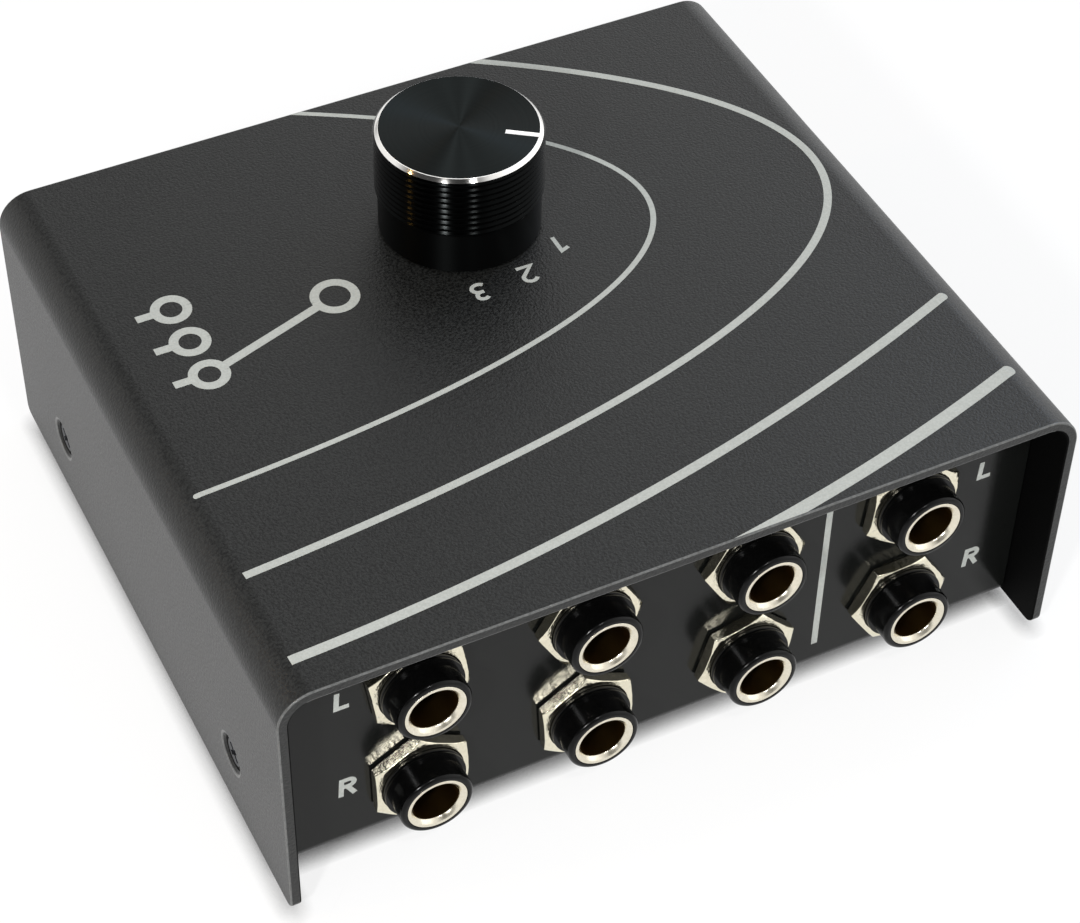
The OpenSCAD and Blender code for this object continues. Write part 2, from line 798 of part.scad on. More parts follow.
// Coil that presses the ball against the rotor
module detent_spring() {
    steps = spring_steps * spring_turns;
    from_x = spring_from + detent_wire_d / 2;
    run = detent_spring_len - detent_wire_d;
    path = [
        for (i = [0 : steps])
            let (a = 360 * i / spring_steps)
            [from_x + run * i / steps, spring_coil_r * cos(a), spring_coil_r * sin(a)]
    ];
    way = unit([run / steps, 0, 2 * PI * spring_coil_r / spring_steps]);
    color("lightsteelblue")
        on_switch()
            translate([0, 0, rotor_z + rotor_h / 2])
                tube(path, way, way, [1, 0, 0], detent_wire_d / 2, spring_sides);
}

// Turning group

// Shaft with its lower journal, clip groove and top flat
module switch_shaft() {
    color("silver")
        on_switch()
            difference() {
                union() {
                    translate([0, 0, wafer_z - journal_reach])
                        cylinder(d = journal_d, h = rotor_z - wafer_z + journal_reach + cut);
                    translate([0, 0, rotor_z])
                        cylinder(d = shaft_d, h = shaft_top_z - rotor_z);
                }
                translate([0, 0, clip_z - fit])
                    difference() {
                        cylinder(d = shaft_d + cut, h = clip_t + 2 * fit);
                        translate([0, 0, -cut])
                            cylinder(d = clip_groove_d, h = clip_t + 2 * cut);
                    }
                shaft_flat_cut(0);
            }
}

// Space beside the shaft's flat, drawn in by a clearance
module shaft_flat_cut(gap) {
    translate([shaft_d / 2 - shaft_flat + gap, -shaft_d, flat_z])
        cube([shaft_d, 2 * shaft_d, knob_top_z - flat_z]);
}

// Split ring in the shaft's groove that keeps it from being pulled out
module shaft_clip() {
    color("dimgray")
        on_switch()
            translate([0, 0, clip_z])
                difference() {
                    cylinder(d = clip_d, h = clip_t);
                    translate([0, 0, -cut])
                        cylinder(d = clip_groove_d + 2 * fit, h = clip_t + 2 * cut);
                    translate([-clip_mouth / 2, 0, -cut])
                        cube([clip_mouth, clip_d, clip_t + 2 * cut]);
                }
}

// Rotor with click notches round its rim
module switch_rotor() {
    color("ivory")
        on_switch()
            translate([0, 0, rotor_z])
                difference() {
                    cylinder(d = rotor_d, h = rotor_h);
                    translate([0, 0, -cut])
                        cylinder(d = shaft_d + 2 * fit, h = rotor_h + 2 * cut);
                    for (k = [0 : notch_count - 1])
                        rotate(360 * k / notch_count)
                            translate([rotor_d / 2 - notch_depth + notch_r, 0, -cut])
                                cylinder(r = notch_r, h = rotor_h + 2 * cut);
                }
}

// Two bridges under the rotor that join a common contact to one throw contact
module rotor_wipers() {
    foot_z = wafer_top_z + contact_head_t + wiper_gap;
    inner = common_r - common_w / 2;
    color("orange")
        on_switch()
            for (r = [0, 1])
                rotate(180 * r + first_throw) {
                    translate([inner, -wiper_w / 2, rotor_z - wiper_t])
                        cube([wiper_end_r - inner, wiper_w, wiper_t]);
                    for (x = [common_r, throw_r])
                        translate([x - wiper_t / 2, -wiper_w / 2, foot_z])
                            cube([wiper_t, wiper_w, rotor_z - wiper_t / 2 - foot_z]);
                }
}

// Insert that grips the shaft's flat inside the knob
module knob_insert() {
    color("darkslategray")
        on_switch()
            difference() {
                union() {
                    translate([0, 0, insert_z])
                        cylinder(d = insert_d, h = insert_len);
                    translate([0, 0, insert_z])
                        cylinder(d = insert_d + 2 * insert_flange_w, h = insert_flange_t);
                }
                difference() {
                    translate([0, 0, insert_z - cut])
                        cylinder(d = shaft_d + 2 * fit, h = shaft_top_z - insert_z + cut + fit);
                    shaft_flat_cut(fit);
                }
            }
}

// Turned knob: grooved grip over a plain skirt, hollow below, with a cut rim and pointer line
module knob_shell() {
    color([0.08, 0.08, 0.09])
        on_switch()
            difference() {
                translate([0, 0, knob_z])
                    rotate_extrude()
                        knob_outline();
                translate([0, 0, knob_z - cut])
                    cylinder(d = knob_hollow_d, h = insert_z - knob_z + insert_flange_t + fit + cut);
                translate([0, 0, insert_z])
                    cylinder(d = insert_d + 2 * fit, h = insert_len + fit);
                rotate(pointer_angle)
                    translate([pointer_from, -pointer_w / 2, knob_top_z - pointer_depth])
                        cube([knob_d, pointer_w, pointer_depth + cut]);
            }
}

// Half section of the knob, from its lower face up
module knob_outline() {
    r = knob_d / 2;
    difference() {
        union() {
            square([knob_skirt_d / 2, knob_h - grip_h]);
            translate([0, knob_h - grip_h - lap])
                square([r, grip_h - knob_rim + lap]);
            polygon([
                [0, knob_h - knob_rim - lap],
                [r, knob_h - knob_rim - lap],
                [r, knob_h - knob_rim],
                [r - knob_rim, knob_h],
                [0, knob_h]
            ]);
        }
        for (k = [0 : groove_count - 1])
            translate([r, knob_h - knob_rim - groove_first - groove_pitch * k])
                polygon([
                    [-groove_depth, 0],
                    [groove_depth, 2 * groove_half],
                    [groove_depth, -2 * groove_half]
                ]);
    }
}

// Wiring

// Insulated wire from a jack's tip lug to its terminal pin on the switch
module signal_wire(r, c) {
    lug = [column_x(c), panel_y + lug_end - touch, row_z(r) - tip_lug_r - contact_t / 2];
    pin = [pin_xy(r, c)[0], switch_y + pin_xy(r, c)[1], pin_tip_z - touch];
    handles = [
        lug,
        lug + [0, -wire_lead[r], wire_lead_rise[r][c]],
        pin + [0, wire_end_back[r], -wire_end_drop[r][c]],
        pin
    ];
    path = [for (i = [0 : wire_rings]) curve_point(handles, i / wire_rings)];
    tints = ["red", "white", "green", "royalblue"];
    color(tints[c])
        tube(path, [0, -1, 0], [0, 0, 1], [1, 0, 0], wire_d / 2, wire_sides);
}

// Bare wire laid on the eight sleeve lugs, with a link between the two rows
module ground_bus() {
    half = column_x(0) + sleeve_lug_w / 2 + bus_d;
    bus_y = panel_y + lug_end + bus_inset;
    color("silver")
        translate([0, bus_y, 0]) {
            for (r = [0, 1])
                translate([-half, 0, bus_z(r)])
                    rotate([0, 90, 0])
                        cylinder(d = bus_d, h = 2 * half);
            for (r = [0, 1])
                translate([half, 0, bus_z(r)])
                    sphere(d = bus_d);
            translate([half, 0, bus_z(1)])
                cylinder(d = bus_d, h = bus_z(0) - bus_z(1));
        }
}
function bus_z(r) = row_z(r) + sleeve_lug_r + contact_t + touch + bus_d / 2;

cover();
chassis();
cover_screws();
rubber_feet();
jack_nuts();
for (r = [0, 1]) for (c = [0 : 3]) {
    name = JACK_NAMES[4 * r + c];
    jack_body(r, c);
    jack_sleeve(r, c);
    tip_spring(r, c);
    signal_wire(r, c);
}
switch_bushing();
lock_washer();
switch_nut();
switch_housing();
contact_wafer();
throw_terminals();
common_contacts();
detent_ball();
detent_spring();
ground_bus();
switch_shaft();
shaft_clip();
switch_rotor();
rotor_wipers();
knob_insert();
knob_shell();
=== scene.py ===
"""Looks of an audio source selector: finishes, printed marks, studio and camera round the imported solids.

The frame is in metres, +Z up. A reader of the dial stands at -Y with +X to the right, and the jacks face +Y.
"""

import functools
import json
import logging
import math
from abc import ABC, abstractmethod
from dataclasses import dataclass, field, replace
from enum import Enum
from typing import Any, Sequence

import bmesh
import bpy
from mathutils import Matrix, Vector
from mathutils.geometry import delaunay_2d_cdt

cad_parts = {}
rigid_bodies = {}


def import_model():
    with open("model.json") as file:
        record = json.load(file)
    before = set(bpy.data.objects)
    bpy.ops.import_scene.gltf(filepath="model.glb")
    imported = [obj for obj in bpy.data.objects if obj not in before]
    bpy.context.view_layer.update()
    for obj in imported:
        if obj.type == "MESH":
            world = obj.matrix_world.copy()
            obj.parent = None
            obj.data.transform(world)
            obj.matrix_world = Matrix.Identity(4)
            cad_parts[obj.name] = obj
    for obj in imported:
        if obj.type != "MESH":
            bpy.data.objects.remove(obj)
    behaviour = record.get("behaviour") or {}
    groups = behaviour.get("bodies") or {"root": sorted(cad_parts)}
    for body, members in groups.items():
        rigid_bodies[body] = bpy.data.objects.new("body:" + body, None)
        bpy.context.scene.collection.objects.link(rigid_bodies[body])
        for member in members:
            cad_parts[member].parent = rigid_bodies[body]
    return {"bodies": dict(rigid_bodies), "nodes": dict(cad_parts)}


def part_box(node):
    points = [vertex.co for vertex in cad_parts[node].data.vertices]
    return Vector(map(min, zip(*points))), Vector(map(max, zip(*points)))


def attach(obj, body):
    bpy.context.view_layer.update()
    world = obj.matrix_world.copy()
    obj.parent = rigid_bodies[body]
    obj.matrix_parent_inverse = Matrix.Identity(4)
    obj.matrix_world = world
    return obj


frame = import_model()

LOG = logging.getLogger("source_selector")
MM = 0.001
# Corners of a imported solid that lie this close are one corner
SEAM_MM = 0.0005
# Width of the photograph's frame, in pixels
IMAGE_W = 1080

Point = tuple[float, float]
Colour = tuple[float, float, float, float]


class Column(Enum):
    """Jack columns from +X to -X."""

    IN3 = "in3"
    IN2 = "in2"
    IN1 = "in1"
    OUT = "out"


class Row(Enum):
    """Jack rows from the upper to the lower."""

    LEFT = "left"
    RIGHT = "right"


class Body(Enum):
    """Bodies of the frame that printed pieces ride on."""

    CASE = "case"


def linear(code: str) -> Colour:
    """Turns an sRGB hex value into a linear colour.

    Args:
        code: six hex digits with a leading hash.

    Returns:
        Linear red, green, blue and an alpha of 1.
    """
    parts = [int(code[i:i + 2], 16) / 255 for i in (1, 3, 5)]
    red, green, blue = (c / 12.92 if c <= 0.04045 else ((c + 0.055) / 1.055) ** 2.4 for c in parts)
    return red, green, blue, 1.0


def per_mm(size_mm: float) -> float:
    """Scale of a pattern whose features measure size_mm."""
    return 1 / (size_mm * MM)


def add_node(tree: bpy.types.NodeTree, kind: str, inputs: dict[Any, Any] | None = None,
             **settings: Any) -> bpy.types.Node:
    """Adds a node with its settings, values and links.

    Args:
        tree: node tree that takes the node.
        kind: type name of the node.
        inputs: value or output socket for each input, by its name or index.
        settings: attributes of the node itself.

    Returns:
        The new node.
    """
    node = tree.nodes.new(kind)
    for name, value in settings.items():
        setattr(node, name, value)
    for key, value in (inputs or {}).items():
        if isinstance(value, bpy.types.NodeSocket):
            tree.links.new(value, node.inputs[key])
        else:
            node.inputs[key].default_value = value
    return node


# Finishes


@dataclass(frozen=True)
class Finish(ABC):
    """A real material and how its surface was made."""

    name: str

    @functools.cache
    def make(self) -> bpy.types.Material:
        """Makes the material once.

        Returns:
            The material, with its pattern in the object's own coordinates.
        """
        material = bpy.data.materials.new(self.name)
        material.use_nodes = True
        tree = material.node_tree
        tree.nodes.clear()
        shader = add_node(tree, "ShaderNodeBsdfPrincipled")
        add_node(tree, "ShaderNodeOutputMaterial", {"Surface": shader.outputs["BSDF"]})
        place = add_node(tree, "ShaderNodeTexCoord").outputs["Object"]
        self.paint(tree, shader, place)
        return material

    @abstractmethod
    def paint(self, tree: bpy.types.NodeTree, shader: bpy.types.Node, place: bpy.types.NodeSocket) -> None:
        """Adds the pattern to the shader.

        Args:
            tree: node tree of the material.
            shader: its surface shader.
            place: object coordinates, in metres.
        """


@dataclass(frozen=True)
class GrainedFinish(Finish):
    """A surface whose colour, gloss and relief vary with one fine grain and one broad cloud."""

    dark: str
    light: str
    roughness: tuple[float, float]
    grain_mm: float
    depth_mm: float
    cloud_mm: float = 20.0
    cloud_share: float = 0.3
    metallic: float = 0.0
    ior: float = 1.5
    stretch: tuple[float, float, float] = (1.0, 1.0, 1.0)
    contrast: tuple[float, float] = (0.25, 0.75)

    def paint(self, tree: bpy.types.NodeTree, shader: bpy.types.Node, place: bpy.types.NodeSocket) -> None:
        """Adds the grain and the cloud to the shader.

        Args:
            tree: node tree of the material.
            shader: its surface shader.
            place: object coordinates, in metres.
        """
        drawn = add_node(tree, "ShaderNodeVectorMath", {0: place, 1: self.stretch}, operation="MULTIPLY")
        grain = add_node(tree, "ShaderNodeTexNoise", {
            "Vector": drawn.outputs[0], "Scale": per_mm(self.grain_mm), "Detail": 2.0, "Roughness": 0.6})
        cloud = add_node(tree, "ShaderNodeTexNoise", {
            "Vector": place, "Scale": per_mm(self.cloud_mm), "Detail": 3.0})
        share = add_node(tree, "ShaderNodeMapRange", {
            "Value": grain.outputs["Fac"], "From Min": self.contrast[0], "From Max": self.contrast[1]})
        blend = add_node(tree, "ShaderNodeMix", {
            0: self.cloud_share, 2: share.outputs[0], 3: cloud.outputs["Fac"]}, data_type="FLOAT")
        colour = add_node(tree, "ShaderNodeMix", {
            0: blend.outputs[0], 6: linear(self.dark), 7: linear(self.light)}, data_type="RGBA")
        gloss = add_node(tree, "ShaderNodeMapRange", {
            "Value": blend.outputs[0], "To Min": self.roughness[0], "To Max": self.roughness[1]})
        relief = add_node(tree, "ShaderNodeBump", {
            "Height": grain.outputs["Fac"], "Distance": self.depth_mm * MM, "Strength": 1.0})
        tree.links.new(colour.outputs[2], shader.inputs["Base Color"])
        tree.links.new(gloss.outputs[0], shader.inputs["Roughness"])
        tree.links.new(relief.outputs[0], shader.inputs["Normal"])
        shader.inputs["Metallic"].default_value = self.metallic
        shader.inputs["IOR"].default_value = self.ior


@dataclass(frozen=True)
class PatchedFinish(GrainedFinish):
    """A grained finish that leaves the metal under it bare in places."""

    bare: str = "#d8dad6"
    bare_gloss: float = 0.35

    @abstractmethod
    def patches(self, tree: bpy.types.NodeTree, place: bpy.types.NodeSocket) -> bpy.types.NodeSocket:
        """Adds the nodes that say where the metal is bare.

        Args:
            tree: node tree of the material.
            place: object coordinates, in metres.

        Returns:
            A socket that is 1 on bare metal and 0 elsewhere.
        """

    def paint(self, tree: bpy.types.NodeTree, shader: bpy.types.Node, place: bpy.types.NodeSocket) -> None:
        """Adds the finish and its bare places to the shader.

        Args:
            tree: node tree of the material.
            shader: its surface shader.
            place: object coordinates, in metres.
        """
        super().paint(tree, shader, place)
        cover, gloss = (shader.inputs[name].links[0].from_socket for name in ("Base Color", "Roughness"))
        share = self.patches(tree, place)
        colour = add_node(tree, "ShaderNodeMix", {
            0: share, 6: cover, 7: linear(self.bare)}, data_type="RGBA")
        worn = add_node(tree, "ShaderNodeMix", {
            0: share, 2: gloss, 3: self.bare_gloss}, data_type="FLOAT")
        tree.links.new(colour.outputs[2], shader.inputs["Base Color"])
        tree.links.new(worn.outputs[0], shader.inputs["Roughness"])
        if self.metallic < 1:
            tree.links.new(share, shader.inputs["Metallic"])


@dataclass(frozen=True)
class ChippedCoat(PatchedFinish):
    """A coat that is knocked off in spots."""

    chip_mm: float = 1.5
    level: float = 0.72
    fade: float = 0.05

    def patches(self, tree: bpy.types.NodeTree, place: bpy.types.NodeSocket) -> bpy.types.NodeSocket:
        """Adds the spots where the coat is knocked off.

        Args:
            tree: node tree of the material.
            place: object coordinates, in metres.

        Returns:
            A socket that is 1 in the spots.
        """
        spots = add_node(tree, "ShaderNodeTexNoise", {
            "Vector": place, "Scale": per_mm(self.chip_mm), "Detail": 2.0})
        return add_node(tree, "ShaderNodeMapRange", {
            "Value": spots.outputs["Fac"],
            "From Min": self.level, "From Max": self.level + self.fade}).outputs[0]


@dataclass(frozen=True)
class PlatedRingShadedBore(PatchedFinish):
    """Plating on the face and mouth of a ring, with brass behind the mouth that is darkened as painted shade
    in the bore.
    """

    mouth_mm: float = 50.0
    fade_mm: float = 0.15

    def patches(self, tree: bpy.types.NodeTree, place: bpy.types.NodeSocket) -> bpy.types.NodeSocket:
        """Adds the border behind the mouth, along Y.

        Args:
            tree: node tree of the material.
            place: object coordinates, in metres.

        Returns:
            A socket that is 1 behind the mouth.
        """
        depth = add_node(tree, "ShaderNodeSeparateXYZ", {0: place}).outputs["Y"]
        return add_node(tree, "ShaderNodeMapRange", {
            "Value": depth, "From Min": self.mouth_mm * MM,
            "From Max": (self.mouth_mm - self.fade_mm) * MM}).outputs[0]


@dataclass(frozen=True)
class ShadowRingedHead(PatchedFinish):
    """Steel screw heads, each with its face at one Y and Z, and a dull black ring round the face that is
    painted shadow of the gap round the head.
    """

    place_mm: tuple[float, float] = (0.0, 0.0)
    face_mm: float = 2.0
    fade_mm: float = 0.15

    def patches(self, tree: bpy.types.NodeTree, place: bpy.types.NodeSocket) -> bpy.types.NodeSocket:
        """Adds the round faces, mirrored to both ends of the case.

        Args:
            tree: node tree of the material.
            place: object coordinates, in metres.

        Returns:
            A socket that is 1 on the faces.
        """
        ends = add_node(tree, "ShaderNodeVectorMath", {0: place}, operation="ABSOLUTE")
        middle = (0.0, self.place_mm[0] * MM, self.place_mm[1] * MM)
        away = add_node(tree, "ShaderNodeVectorMath", {0: ends.outputs[0], 1: middle}, operation="SUBTRACT")
        flat = add_node(tree, "ShaderNodeVectorMath", {
            0: away.outputs[0], 1: (0.0, 1.0, 1.0)}, operation="MULTIPLY")
        radius = add_node(tree, "ShaderNodeVectorMath", {0: flat.outputs[0]}, operation="LENGTH")
        return add_node(tree, "ShaderNodeMapRange", {
            "Value": radius.outputs["Value"], "From Min": self.face_mm * MM,
            "From Max": (self.face_mm - self.fade_mm) * MM}).outputs[0]


@dataclass(frozen=True)
class TurnedAnodising(Finish):
    """Turned aluminium, dyed black, with a rim cut bright and a paint-filled line cut after the dye. The
    sides take a darker copy of the top's dye, as painted shade.

    The axis, the height of the top and the grip's radius are in metres.
    """

    axis: tuple[float, float]
    top_z: float
    grip_r: float
    chamfer_mm: float
    rim_mm: float
    grip_mm: float
    line_depth_mm: float
    # How far the borders of the zones stand off the turned edges
    slack_mm: float = 0.02
    rim_slack_mm: float = 0.06
    top_dye: str = "#232727"
    # Darker copy of the top's dye for the sides: painted shade on the grip and skirt
    shaded_side_dye: str = "#0e0f0f"
    bare: str = "#f2f0ec"
    line_paint: str = "#f4f4f2"
    ring_mm: float = 0.35
    ring_gloss: tuple[float, float] = (0.42, 0.56)
    grip_gloss: float = 0.22
    rim_gloss: float = 0.14
    anisotropy: float = 0.92

    def paint(self, tree: bpy.types.NodeTree, shader: bpy.types.Node, place: bpy.types.NodeSocket) -> None:
        """Adds the turning rings, the cut rim and the line to the shader.

        Args:
            tree: node tree of the material.
            shader: its surface shader.
            place: object coordinates, in metres.
        """
        slack = self.slack_mm * MM
        rim_r = self.grip_r - (self.chamfer_mm - self.rim_slack_mm) * MM
        rim_z = self.top_z - self.rim_mm * MM - slack
        line_z = self.top_z - self.line_depth_mm * MM - slack
        from_axis = add_node(tree, "ShaderNodeVectorMath", {
            0: place, 1: (*self.axis, 0.0)}, operation="SUBTRACT")
        flat = add_node(tree, "ShaderNodeVectorMath", {
            0: from_axis.outputs[0], 1: (1.0, 1.0, 0.0)}, operation="MULTIPLY")
        length = add_node(tree, "ShaderNodeVectorMath", {0: flat.outputs[0]}, operation="LENGTH")
        radius = length.outputs["Value"]
        height = add_node(tree, "ShaderNodeSeparateXYZ", {0: place}).outputs["Z"]
        outside = add_node(tree, "ShaderNodeMath", {0: radius, 1: rim_r}, operation="GREATER_THAN")
        high = add_node(tree, "ShaderNodeMath", {0: height, 1: rim_z}, operation="GREATER_THAN")
        rim = add_node(tree, "ShaderNodeMath", {
            0: outside.outputs[0], 1: high.outputs[0]}, operation="MULTIPLY")
        side = add_node(tree, "ShaderNodeMath", {0: height, 1: rim_z}, operation="LESS_THAN")
        over_skirt = add_node(tree, "ShaderNodeMath", {
            0: height, 1: self.top_z - self.grip_mm * MM}, operation="GREATER_THAN")
        grip = add_node(tree, "ShaderNodeMath", {
            0: side.outputs[0], 1: over_skirt.outputs[0]}, operation="MULTIPLY")
        below = add_node(tree, "ShaderNodeMath", {0: height, 1: self.top_z - slack}, operation="LESS_THAN")
        above = add_node(tree, "ShaderNodeMath", {0: height, 1: line_z}, operation="GREATER_THAN")
        sunk = add_node(tree, "ShaderNodeMath", {
            0: below.outputs[0], 1: above.outputs[0]}, operation="MULTIPLY")
        line = add_node(tree, "ShaderNodeMath", {
            0: sunk.outputs[0], 1: rim.outputs[0]}, operation="SUBTRACT", use_clamp=True)
        # Rings of the cutting tool, drawn about twice as coarse as real ones so that they show
        rings = add_node(tree, "ShaderNodeTexNoise", {
            "W": radius, "Scale": per_mm(self.ring_mm), "Detail": 1.0}, noise_dimensions="1D")
        ring_gloss = add_node(tree, "ShaderNodeMapRange", {
            "Value": rings.outputs[0], "To Min": self.ring_gloss[0], "To Max": self.ring_gloss[1]})
        turned_gloss = add_node(tree, "ShaderNodeMix", {
            0: grip.outputs[0], 2: ring_gloss.outputs[0], 3: self.grip_gloss}, data_type="FLOAT")
        # Painted shade: the sides below the rim take the darker copy of the dye
        dyed = add_node(tree, "ShaderNodeMix", {
            0: side.outputs[0], 6: linear(self.top_dye), 7: linear(self.shaded_side_dye)}, data_type="RGBA")
        cut = add_node(tree, "ShaderNodeMix", {
            0: rim.outputs[0], 6: dyed.outputs[2], 7: linear(self.bare)}, data_type="RGBA")
        colour = add_node(tree, "ShaderNodeMix", {
            0: line.outputs[0], 6: cut.outputs[2], 7: linear(self.line_paint)}, data_type="RGBA")
        gloss = add_node(tree, "ShaderNodeMix", {
            0: rim.outputs[0], 2: turned_gloss.outputs[0], 3: self.rim_gloss}, data_type="FLOAT")
        metal = add_node(tree, "ShaderNodeMath", {0: 1.0, 1: line.outputs[0]}, operation="SUBTRACT")
        around = add_node(tree, "ShaderNodeTangent", direction_type="RADIAL", axis="Z")
        tree.links.new(colour.outputs[2], shader.inputs["Base Color"])
        tree.links.new(gloss.outputs[0], shader.inputs["Roughness"])
        tree.links.new(metal.outputs[0], shader.inputs["Metallic"])
        tree.links.new(around.outputs[0], shader.inputs["Tangent"])
        shader.inputs["Anisotropic"].default_value = self.anisotropy
        # A quarter turn, because light spreads across the rings and not along them
        shader.inputs["Anisotropic Rotation"].default_value = 0.25


# Textured polyester powder coat on steel: black, with a soft sheen that makes it grey and a pepper grain,
# which is drawn about twice as coarse as a real one so that it shows
POWDER_COAT = GrainedFinish("powder_coated_steel", "#020202", "#222322", (0.34, 0.48), 0.38, 0.085, ior=1.43,
                            contrast=(0.38, 0.62))
# The coat on the sheet's rounded edges, lighter than the coat as a painted highlight along the edges, with a
# few spots knocked down to bright steel
CHIPPED_HIGHLIT_EDGE_COAT = ChippedCoat("chipped_powder_coat_edge", "#383938", "#686968", (0.3, 0.42), 0.4, 0.012)
# Painted shade on the cover's inside: a darker, duller copy of the coat that shows no grain
INSIDE_PAINTED_SHADE = GrainedFinish("oversprayed_steel", "#020202", "#070707", (0.6, 0.75), 0.5, 0.002, ior=1.12)
# Smooth semi-gloss coat on the chassis: it mirrors the nuts that stand on it
SATIN_COAT = GrainedFinish("satin_coated_steel", "#0a0b0a", "#161716", (0.14, 0.22), 0.5, 0.004, ior=1.26)
# Nickel-plated brass, tumbled before plating: warm white with a slightly wavy mirror
NICKEL = GrainedFinish("nickel_plated_brass", "#dcd5c3", "#f0ebdd", (0.16, 0.3), 0.6, 0.008, metallic=1.0)
# The same plate on the nuts, whose stamped flats are wavy, so that a lamp breaks into streaks on them
NUT_NICKEL = GrainedFinish("nickel_plated_stamped_brass", "#dcd5bc", "#f0ead6", (0.16, 0.26), 0.7, 0.1,
                           metallic=1.0, stretch=(1.0, 0.35, 1.0))
# The same plate on a jack's sleeve, with brass in the bore that is darkened as painted shade deep in the
# bore
SLEEVE_NICKEL_SHADED_BORE = PlatedRingShadedBore("nickel_plated_brass_sleeve", "#d8d0bb", "#ece6d6", (0.18, 0.3), 0.6, 0.006,
                           metallic=1.0, bare="#8a6c3c", bare_gloss=0.3, mouth_mm=49.95)
# Gloss ABS out of a polished mould: near black with sharp lights
JACK_ABS = GrainedFinish("moulded_black_abs", "#040404", "#090909", (0.14, 0.24), 0.6, 0.002, ior=1.25)
# Dark steel screw heads, with a dull black ring round each face that is painted shadow of the gap round the
# head in its countersink
SCREW_HEAD_SHADOW_RING = ShadowRingedHead("black_oxide_steel", "#030303", "#080808", (0.5, 0.65), 0.15, 0.004, ior=1.08,
                            bare="#45474a", bare_gloss=0.45, place_mm=(32.0, 12.7), face_mm=2.05)
# Moulded rubber: dead matt black with a dusty bloom
RUBBER = GrainedFinish("moulded_rubber", "#0e0e0e", "#1d1d1c", (0.75, 0.9), 0.3, 0.01)
# Rolled phosphor bronze strip: warm gold with lines along the rolling
BRONZE = GrainedFinish("rolled_phosphor_bronze", "#a9763c", "#c99a58", (0.25, 0.4), 0.4, 0.004, metallic=1.0,
                       stretch=(1.0, 0.1, 1.0))
# Bright zinc plate on turned steel: cool grey with a faint blue cast
ZINC = GrainedFinish("zinc_plated_steel", "#a7abae", "#c8cbcd", (0.25, 0.4), 0.3, 0.004, metallic=1.0)
# Phenolic moulding: brown with a wood-flour fleck
PHENOLIC = GrainedFinish("moulded_phenolic", "#4a2c17", "#6a4325", (0.35, 0.5), 0.4, 0.006)
# Acetal out of a mould: waxy off-white
ACETAL = GrainedFinish("moulded_acetal", "#d5cfbf", "#e6e1d4", (0.3, 0.42), 0.8, 0.003)
# Silver-plated brass contacts: pale yellow metal with a light tarnish
CONTACT = GrainedFinish("silver_plated_brass", "#b99b5c", "#d9c894", (0.2, 0.4), 0.5, 0.003, metallic=1.0)
# Tinned copper wire: dull bright grey, drawn lengthways
TINNED = GrainedFinish("tinned_copper", "#a5a7a8", "#c4c5c4", (0.3, 0.45), 0.2, 0.003, metallic=1.0,
                       stretch=(0.1, 1.0, 1.0))
# Screen-printed ink: pale grey with tiny pinholes where the coat's grain shows through
INK = GrainedFinish("screen_printed_ink", "#9a9d98", "#b5b8b3", (0.5, 0.65), 0.3, 0.004)
# Nylon moulding inside the knob: dark grey, matt
INSERT_NYLON = GrainedFinish("moulded_nylon", "#161616", "#232323", (0.45, 0.6), 0.3, 0.004)
# Extruded PVC insulation: satin, one colour for each pair of jacks
WIRE_PVC = {
    Column.IN3: GrainedFinish("extruded_red_pvc", "#8f1a15", "#b22a20", (0.35, 0.45), 0.6, 0.003),
    Column.IN2: GrainedFinish("extruded_white_pvc", "#cfcfca", "#e4e4df", (0.35, 0.45), 0.6, 0.003),
    Column.IN1: GrainedFinish("extruded_green_pvc", "#1b5c2c", "#2b7a3e", (0.35, 0.45), 0.6, 0.003),
    Column.OUT: GrainedFinish("extruded_blue_pvc", "#1d3a86", "#2c51ad", (0.35, 0.45), 0.6, 0.003),
}


# Working on the frame's own nodes


@dataclass(frozen=True)
class EdgeRounding:
    """Small round on the sharp edges of a node, made by modifiers, so that the edges catch the light."""

    width_mm: float
    sharper_than_deg: float = 35.0
    flat_within_deg: float = 0.1
    segments: int = 2
    slot: int = -1

    def put_on(self, node: str) -> None:
        """Adds the modifiers to a node.

        Args:
            node: name of the node.
        """
        piece = frame["nodes"][node]
        weld = piece.modifiers.new("join_seams", "WELD")
        weld.merge_threshold = SEAM_MM * MM
        flats = piece.modifiers.new("join_flats", "DECIMATE")
        flats.decimate_type = "DISSOLVE"
        flats.angle_limit = math.radians(self.flat_within_deg)
        bevel = piece.modifiers.new("round_edges", "BEVEL")
        bevel.width = self.width_mm * MM
        bevel.segments = self.segments
        bevel.limit_method = "ANGLE"
        bevel.angle_limit = math.radians(self.sharper_than_deg)
        bevel.use_clamp_overlap = False
        bevel.material = self.slot
        normals = piece.modifiers.new("even_light", "WEIGHTED_NORMAL")
        normals.keep_sharp = False


def dress_node(node: str, *finishes: Finish) -> None:
    """Gives a node its finishes, the first on its faces and the rest in further slots.

    Args:
        node: name of the node.
        finishes: one finish or more.
    """
    piece = frame["nodes"][node]
    while len(piece.material_slots) < len(finishes):
        piece.data.materials.append(None)
    for slot, finish in zip(piece.material_slots, finishes):
        slot.link = "OBJECT"
        slot.material = finish.make()
    LOG.info("dressed %s in %s", node, ", ".join(f.name for f in finishes))


# Sub-assemblies


class SubAssembly:
    """Pieces that are built and dressed together; a group has its own build, dress or both."""

    def build(self) -> None:
        """Shapes the pieces."""

    def dress(self) -> None:
        """Finishes the pieces."""


